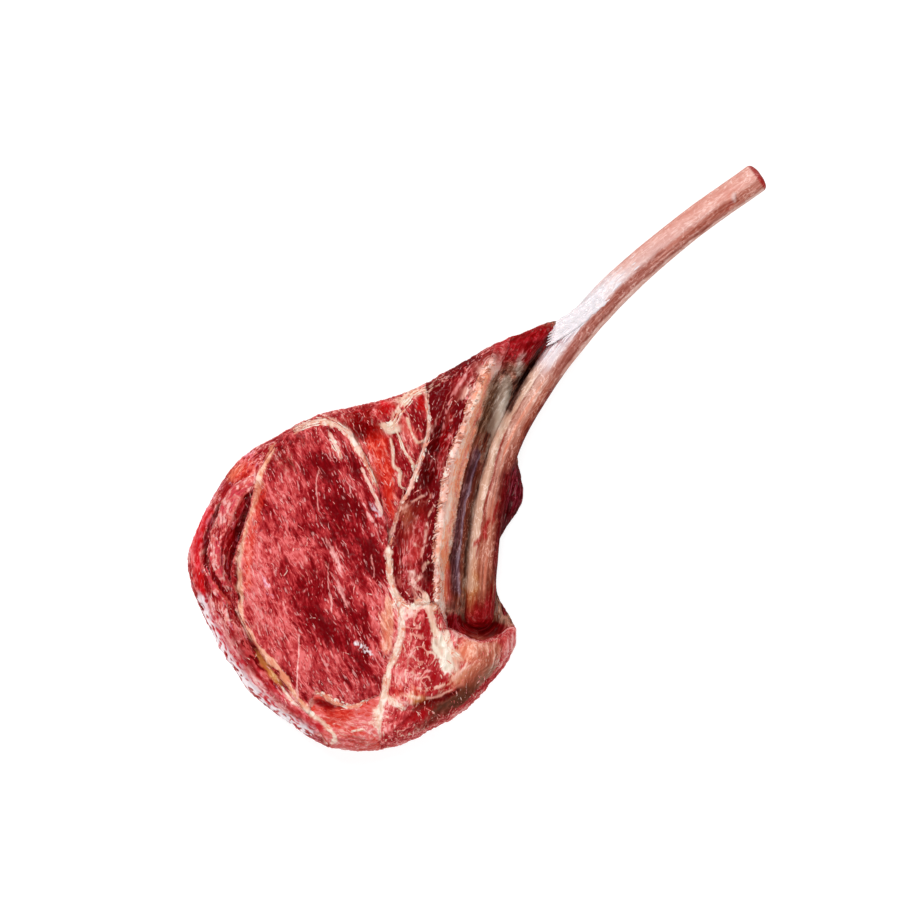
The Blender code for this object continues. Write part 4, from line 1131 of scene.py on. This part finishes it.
def curves_of(name, lines):
    """An object of curves, each given as points in metres and a radius for each point."""
    data = bpy.data.curves.new(name, "CURVE")
    data.dimensions = "3D"
    for points, radii in lines:
        spline = data.splines.new("POLY")
        spline.points.add(len(points) - 1)
        spline.points.foreach_set("co", np.column_stack([points, np.ones(len(points))]).ravel())
        spline.points.foreach_set("radius", np.asarray(radii, float) / MM)
    source = bpy.data.objects.new(name, data)
    bpy.context.scene.collection.objects.link(source)
    return source


def strands_along(name, lines, look, flat):
    """The mesh of closed, slightly knotty strands along lines."""
    recipe = Recipe(name, Spacing=("Float", 0.0006), Sides=("Int", 7), Knots=("Float", 0.45),
                    Sway=("Float", 0.0005))
    given = recipe.given
    upright = recipe.step("GeometryNodeSetCurveNormal", {"Curve": recipe.resampled()}, mode="Z_UP")
    ring = recipe.step("GeometryNodeCurvePrimitiveCircle", {"Resolution": given["Sides"], "Radius": MM})
    oval = recipe.step("GeometryNodeTransform", {"Geometry": ring, "Scale": (1.0, flat, 1.0)})
    knots = recipe.step("ShaderNodeTexNoise", {"Scale": 320.0, "Detail": 1.0})
    centred = recipe.math("SUBTRACT", knots, 0.5)
    swollen = recipe.math("MULTIPLY_ADD", centred, recipe.math("MULTIPLY", given["Knots"], 4.0), 1.0)
    radius = recipe.math("MULTIPLY", recipe.step("GeometryNodeInputRadius"), swollen)
    skin = recipe.step("GeometryNodeCurveToMesh", {"Curve": upright, "Profile Curve": oval, "Scale": radius,
                                                   "Fill Caps": True})
    return recipe.mesh_from(curves_of(name, lines), recipe.swayed(skin, 260.0, given["Sway"]), look)


def tapered(share):
    """Thin at both ends, full in the middle."""
    return 0.25 + 0.75 * np.minimum(1.0, 5.0 * share * (1.0 - share)) ** 0.5


def beside(line, offset):
    """A line of the plan at this distance from another one, on its left."""
    along = np.gradient(line, axis=0)
    along /= np.linalg.norm(along, axis=1)[:, None]
    return line + offset * np.column_stack([-along[:, 1], along[:, 0]])


def wandering(line, reach, seed, wave):
    """A line of the plan that sways by up to about this much, in waves of this length."""
    base = np.column_stack([line / wave, np.full(len(line), 0.37 * seed)])
    return line + reach * np.column_stack([noise(base, 61 + seed), noise(base, 91 + seed)])


def lay_strands(name, lines, look, flat):
    """Shows strands along lines, each with its radius and how deep it sinks in, in millimetres. A line of the
    plan is laid over the steak, and one with heights of its own is left as it is."""
    laid = []
    for line, radius, sink in lines:
        place = lain(line, sink) if line.shape[1] == 2 else (line * MM, np.linspace(0.0, 1.0, len(line)))
        if place:
            points, share = place
            laid.append((points, radius * MM * tapered(share)))
    show(name, strands_along(name, laid, look, flat), look)


def lay_threads():
    """Raised threads of fat that run side by side along the seams."""
    lines = []
    for title, (_, width, _, _, *route) in STRANDS.items():
        if title in RAISED:
            for k, offset in enumerate((0.1, -0.5, 0.5, 0.9, -0.9) if width > 0.8 else (0.1, -0.5)):
                line = wandering(beside(smooth_line(route), offset * width), 0.8, len(title) + 7 * k, 5.0)
                lines.append((line, size("thread") * (0.35 + 0.25 * width), 0.15))
    look = fatty("thread fat", "salmon", "rosy fat", "cream", 0.15)
    lay_strands("fat_threads", lines, look, 0.6)


def lay_folds():
    """Folds of the cap, each made of strands that start and stop at different places."""
    ends = ((0.0, 0.8), (0.1, 1.0), (0.25, 1.0), (0.05, 0.9), (0.0, 1.0))
    lines = []
    for k, (title, (_, width, _, _, *route)) in enumerate(STRANDS.items()):
        if title.startswith("cap fold"):
            for j, (start, stop) in enumerate(ends if width > 1.0 else ends[:2]):
                line = wandering(beside(smooth_line(route), 0.8 * (j - 2)), 0.9, k + 5 * j, 7.0)
                kept = line[int(len(line) * start):int(len(line) * stop)]
                lines.append((kept, 0.6 + 0.18 * (j % 3), 0.1))
    lay_strands("cap_folds", lines, fatty("fold flesh", "crimson", "coral", "blush"), 0.7)


def lay_webs():
    """Fine strands of fat that wander over the flesh, kept where they stay on their piece."""
    rng = np.random.default_rng(4)
    lines = []
    for name, count, turn, long in WEBS:
        thing = next(thing for thing in DRESSED if thing.name == name)
        corners = np.array([corner[:2] for corner in thing.bound_box]) / MM
        low, high = corners.min(axis=0), corners.max(axis=0)
        for _ in range(count):
            steps = int(long * rng.uniform(0.6, 1.6))
            heading = math.radians(turn + rng.normal(0.0, 16.0)) + np.cumsum(rng.normal(0.0, 0.22, steps))
            way = rng.uniform(low, high) + np.cumsum(np.stack([np.cos(heading), np.sin(heading)], 1), axis=0)
            if all(top_at(*place)[1] == thing for place in way):
                lines.append((way, rng.uniform(0.1, 0.24), 0.1))
    lay_strands("webs_of_fat", lines, fatty("web fat", "coral", "pink", "rosy fat", 0.2), 0.7)


def lay_sinews():
    """Sinews along the rib, and a fan of them that spreads from the rib to the tip of the meat."""
    line = spaced(smooth_line(RIB), 1.5)[0]
    run = np.linspace(0.0, 1.0, len(line))
    lines = []
    for k in range(9):
        part = (run > 0.24 + 0.03 * ((k * 3) % 4)) & (run < 0.47 + 0.012 * ((k * 5) % 7))
        sinew = wandering(beside(line, -4.6 + 0.55 * k), 0.35, k, 14.0)[part]
        lines.append((sinew, 0.3 + 0.06 * (k % 3), 0.2))
    for k in range(7):
        root, tip = (76 - 3 * (k % 3), 13.2 - 0.8 * k), (44.5 - 1.1 * k, 18.2 - 0.75 * k)
        plan = smooth_line((root, (58 - k, 15.2 - 0.75 * k), tip))
        height = np.full(len(plan), top_at(*root)[0] - 0.5)
        lines.append((np.column_stack([wandering(plan, 0.25, k, 14.0), height]), 1.0, 0.0))
    lay_strands("rib_sinews", lines, fatty("sinew", "sinew", "sinew", "pale lilac"), 0.6)


def slivers(recipe, points, along, up, long, wide, flat, seed):
    """Small slivers on points, each lying along a direction, of different sizes and tones."""
    drop = recipe.step("GeometryNodeMeshUVSphere", {"Segments": 5, "Rings": 9, "Radius": MM})
    turn = recipe.step("FunctionNodeAxesToRotation", {"Primary Axis": along, "Secondary Axis": up},
                       primary_axis="Z", secondary_axis="Y")
    length = recipe.math("MULTIPLY", recipe.random(0.25, 1.5, seed), long)
    across = recipe.math("MULTIPLY", recipe.random(0.55, 1.35, seed + 1), wide)
    scale = recipe.step("ShaderNodeCombineXYZ", {"X": across, "Y": recipe.math("MULTIPLY", across, flat),
                                                 "Z": length})
    placed = recipe.step("GeometryNodeInstanceOnPoints", {"Points": points, "Instance": drop,
                                                          "Rotation": turn, "Scale": scale})
    toned = recipe.step("GeometryNodeStoreNamedAttribute", {
        "Geometry": placed, "Name": "shade", "Value": recipe.random(0.0, 1.0, seed + 2)},
        data_type="FLOAT", domain="INSTANCE")
    return recipe.step("GeometryNodeRealizeInstances", {"Geometry": toned})


def lay_frill():
    """The frill of slivers that leans out of the ridge's crest."""
    line = spaced(smooth_line(CREST), 1.0)[0]
    rows = [lain(beside(line, offset), 0.05)[0] for offset in (-2.2, -1.0)]
    source = curves_of("crest_frill", [(row, np.full(len(row), MM)) for row in rows])
    recipe = Recipe("crest_frill", Spacing=("Float", MM), Length=("Float", size("frill") / 2),
                    Lean=("Float", math.radians(-48)), Seed=("Int", 7))
    given = recipe.given
    even = recipe.resampled()
    tangent = recipe.step("GeometryNodeInputTangent")
    leaning = recipe.step("ShaderNodeVectorRotate", {"Vector": tangent, "Angle": given["Lean"]},
                          rotation_type="Z_AXIS")
    placed = slivers(recipe, even, leaning, (0.0, 0.0, 1.0), given["Length"], 0.36, 0.7, 11)
    look = fatty("frill fat", "clay", "salmon", "rosy fat", reach=(0.45, 1.05))
    show("crest_frill", recipe.mesh_from(source, recipe.swayed(placed, 300.0, 0.003), look), look)


def lay_flecks():
    """The flecks of marbling, which lie along the grain where the dressed surfaces hold more fat."""
    look = fatty("fleck fat", "coral", "pink", "blush", 0.1, (0.45, 1.05))
    eye, *others = (thing for thing in DRESSED if thing.name in FLECKED)
    source = bpy.data.objects.new("flecks", eye.data.copy())
    bpy.context.scene.collection.objects.link(source)
    recipe = Recipe("marbling_flecks", Density=("Float", 260000.0), Length=("Float", size("fleck")),
                    Width=("Float", 0.19), Seed=("Int", 3))
    given = recipe.given
    join = recipe.add("GeometryNodeJoinGeometry")
    recipe.tree.links.new(given["Geometry"], join.inputs[0])
    for thing in others:
        skin = recipe.step("GeometryNodeObjectInfo", {"Object": thing}, "Geometry")
        recipe.tree.links.new(skin, join.inputs[0])
    along = recipe.step("GeometryNodeInputNamedAttribute", {"Name": "along"}, data_type="FLOAT_VECTOR")
    share = recipe.step("GeometryNodeInputNamedAttribute", {"Name": "fat"}, data_type="FLOAT")
    spread = recipe.add("GeometryNodeDistributePointsOnFaces", {
        "Mesh": join.outputs[0], "Density": recipe.math("MULTIPLY", given["Density"], share),
        "Seed": given["Seed"]}, distribute_method="RANDOM")
    stray = recipe.step("FunctionNodeRandomValue", {0: (-0.35, -0.35, -0.1), 1: (0.35, 0.35, 0.1), "Seed": 9},
                        data_type="FLOAT_VECTOR")
    heading = recipe.step("ShaderNodeVectorMath", {0: along, 1: stray}, operation="ADD")
    placed = slivers(recipe, spread.outputs["Points"], heading, spread.outputs["Normal"], given["Length"],
                     given["Width"], 0.6, 21)
    show("marbling_flecks", recipe.mesh_from(source, recipe.swayed(placed, 420.0, 0.0016), look), look)


# ---- stage
def build_table():
    """A plain, pale table, half a millimetre under the steak."""
    mesh = bpy.data.meshes.new("table")
    corners = ((-1, -1), (1, -1), (1, 1), (-1, 1))
    mesh.from_pydata([(x * TABLE_REACH, y * TABLE_REACH, TABLE_TOP) for x, y in corners], [], [(0, 1, 2, 3)])
    material, g = new_material("white table")
    white = g.ramp(g.noise(g.add("ShaderNodeTexCoord").outputs["Object"], 3.0), (0.3, 0.3), (0.7, 0.34))
    g.surface(Base_Color=white, Roughness=0.9, Specular_IOR_Level=0.1, Emission_Color=(1, 1, 1, 1),
              Emission_Strength=0.78)
    mesh.materials.append(material)
    floor = bpy.data.objects.new("table", mesh)
    bpy.context.scene.collection.objects.link(floor)


def light_studio():
    """Soft lamps round the steak, and a faint white surrounding."""
    world = bpy.data.worlds.new("studio")
    world.use_nodes = True
    g = Graph(world.node_tree)
    back = g.add("ShaderNodeBackground", {"Color": (1, 1, 1, 1), "Strength": 0.06})
    g.add("ShaderNodeOutputWorld", {"Surface": back.outputs[0]})
    bpy.context.scene.world = world
    for name, bearing, height, distance, side, watts in LAMPS:
        data = bpy.data.lights.new(name, "AREA")
        data.energy = watts
        data.size = side
        lamp = bpy.data.objects.new(name, data)
        turn, lift = math.radians(bearing), math.radians(height)
        away = Vector((math.cos(turn) * math.cos(lift), math.sin(turn) * math.cos(lift), math.sin(lift)))
        lamp.location = Vector((*LAMPS_AIM, 0.0)) + distance * away
        lamp.rotation_euler = away.to_track_quat("Z", "Y").to_euler()
        bpy.context.scene.collection.objects.link(lamp)


def place_camera():
    """A camera that looks straight down, turned so that the rib points up to the right."""
    view = bpy.data.cameras.new("overhead")
    view.angle = 2 * math.atan(VIEW_WIDTH / 2 / (CAMERA_HEIGHT - VIEW_LEVEL))
    view.clip_end = 20
    camera = bpy.data.objects.new("overhead", view)
    camera.location = (*VIEW_MIDDLE, CAMERA_HEIGHT)
    camera.rotation_euler = (0, 0, math.radians(-45))
    bpy.context.scene.collection.objects.link(camera)
    bpy.context.scene.camera = camera
    bpy.context.scene.view_settings.view_transform = "Standard"


# ---- operators
class STEAK_OT_eye(bpy.types.Operator):
    """Dress the large round muscle"""

    bl_idname = "steak.eye"
    bl_label = "Eye of the rib"
    bl_options = {"REGISTER", "UNDO"}

    def execute(self, context):
        dress_eye()
        return {"FINISHED"}


class STEAK_OT_cap(bpy.types.Operator):
    """Dress the cap muscle round the eye"""

    bl_idname = "steak.cap"
    bl_label = "Rib cap"
    bl_options = {"REGISTER", "UNDO"}

    def execute(self, context):
        dress_cap()
        return {"FINISHED"}


class STEAK_OT_tail(bpy.types.Operator):
    """Dress the tail of the cut"""

    bl_idname = "steak.tail"
    bl_label = "Tail"
    bl_options = {"REGISTER", "UNDO"}

    def execute(self, context):
        dress_tail()
        return {"FINISHED"}


class STEAK_OT_wedge(bpy.types.Operator):
    """Dress the wedge between eye and rib"""

    bl_idname = "steak.wedge"
    bl_label = "Wedge"
    bl_options = {"REGISTER", "UNDO"}

    def execute(self, context):
        dress_wedge()
        return {"FINISHED"}


class STEAK_OT_lobe(bpy.types.Operator):
    """Dress the meat beside the rib"""

    bl_idname = "steak.lobe"
    bl_label = "Rib meat"
    bl_options = {"REGISTER", "UNDO"}

    def execute(self, context):
        dress_lobe()
        return {"FINISHED"}


class STEAK_OT_ridge(bpy.types.Operator):
    """Dress the ridge of fat along the rib"""

    bl_idname = "steak.ridge"
    bl_label = "Fat ridge"
    bl_options = {"REGISTER", "UNDO"}

    def execute(self, context):
        dress_ridge()
        return {"FINISHED"}


class STEAK_OT_bed(bpy.types.Operator):
    """Dress the membrane that the rib lies in"""

    bl_idname = "steak.bed"
    bl_label = "Rib bed"
    bl_options = {"REGISTER", "UNDO"}

    def execute(self, context):
        dress_bed()
        return {"FINISHED"}


class STEAK_OT_chine(bpy.types.Operator):
    """Dress the fatty meat at the chine"""

    bl_idname = "steak.chine"
    bl_label = "Chine side"
    bl_options = {"REGISTER", "UNDO"}

    def execute(self, context):
        dress_chine()
        return {"FINISHED"}


class STEAK_OT_bone(bpy.types.Operator):
    """Dress the bare rib"""

    bl_idname = "steak.bone"
    bl_label = "Rib bone"
    bl_options = {"REGISTER", "UNDO"}

    def execute(self, context):
        dress_bone()
        return {"FINISHED"}


class STEAK_OT_threads(bpy.types.Operator):
    """Lay threads of fat along the seams"""

    bl_idname = "steak.threads"
    bl_label = "Fat threads"
    bl_options = {"REGISTER", "UNDO"}

    def execute(self, context):
        lay_threads()
        return {"FINISHED"}


class STEAK_OT_webs(bpy.types.Operator):
    """Lay fine strands of fat over the flesh"""

    bl_idname = "steak.webs"
    bl_label = "Webs of fat"
    bl_options = {"REGISTER", "UNDO"}

    def execute(self, context):
        lay_webs()
        return {"FINISHED"}


class STEAK_OT_folds(bpy.types.Operator):
    """Lay the folds of the cap"""

    bl_idname = "steak.folds"
    bl_label = "Cap folds"
    bl_options = {"REGISTER", "UNDO"}

    def execute(self, context):
        lay_folds()
        return {"FINISHED"}


class STEAK_OT_sinews(bpy.types.Operator):
    """Lay the sinew fibres on the rib"""

    bl_idname = "steak.sinews"
    bl_label = "Rib sinews"
    bl_options = {"REGISTER", "UNDO"}

    def execute(self, context):
        lay_sinews()
        return {"FINISHED"}


class STEAK_OT_frill(bpy.types.Operator):
    """Set the frill along the crest"""

    bl_idname = "steak.frill"
    bl_label = "Crest frill"
    bl_options = {"REGISTER", "UNDO"}

    def execute(self, context):
        lay_frill()
        return {"FINISHED"}


class STEAK_OT_flecks(bpy.types.Operator):
    """Scatter flecks of fat over the flesh"""

    bl_idname = "steak.flecks"
    bl_label = "Marbling"
    bl_options = {"REGISTER", "UNDO"}

    def execute(self, context):
        lay_flecks()
        return {"FINISHED"}


class STEAK_OT_stage(bpy.types.Operator):
    """Set the table, lamps and camera"""

    bl_idname = "steak.stage"
    bl_label = "Stage"
    bl_options = {"REGISTER", "UNDO"}

    def execute(self, context):
        build_table()
        light_studio()
        place_camera()
        return {"FINISHED"}


OPERATORS = (
    STEAK_OT_eye, STEAK_OT_cap, STEAK_OT_tail, STEAK_OT_wedge, STEAK_OT_lobe,
    STEAK_OT_ridge, STEAK_OT_bed, STEAK_OT_chine, STEAK_OT_bone, STEAK_OT_threads,
    STEAK_OT_webs, STEAK_OT_folds, STEAK_OT_sinews, STEAK_OT_frill,
    STEAK_OT_flecks, STEAK_OT_stage,
)


class STEAK_PT_panel(bpy.types.Panel):
    """Lists the steak's settings and pieces."""

    bl_idname = "STEAK_PT_panel"
    bl_label = "Veal tomahawk steak"
    bl_space_type = "VIEW_3D"
    bl_region_type = "UI"
    bl_category = "Steak"

    def draw(self, context):
        for item in OPERATORS:
            self.layout.operator(item.bl_idname)
        for group in (context.scene.steak.sizes, context.scene.steak.colours):
            box = self.layout.box()
            for name in group.bl_rna.properties.keys():
                if name not in ("rna_type", "name"):
                    box.prop(group, name)


CLASSES = (SteakColours, SteakSizes, SteakSettings, *OPERATORS, STEAK_PT_panel)


def register():
    for item in CLASSES:
        bpy.utils.register_class(item)
    bpy.types.Scene.steak = PointerProperty(type=SteakSettings)


def unregister():
    del bpy.types.Scene.steak
    for item in reversed(CLASSES):
        bpy.utils.unregister_class(item)


def main():
    register()
    for item in OPERATORS:
        getattr(bpy.ops.steak, item.bl_idname.split(".")[1])()


if __name__ == "__main__":
    main()
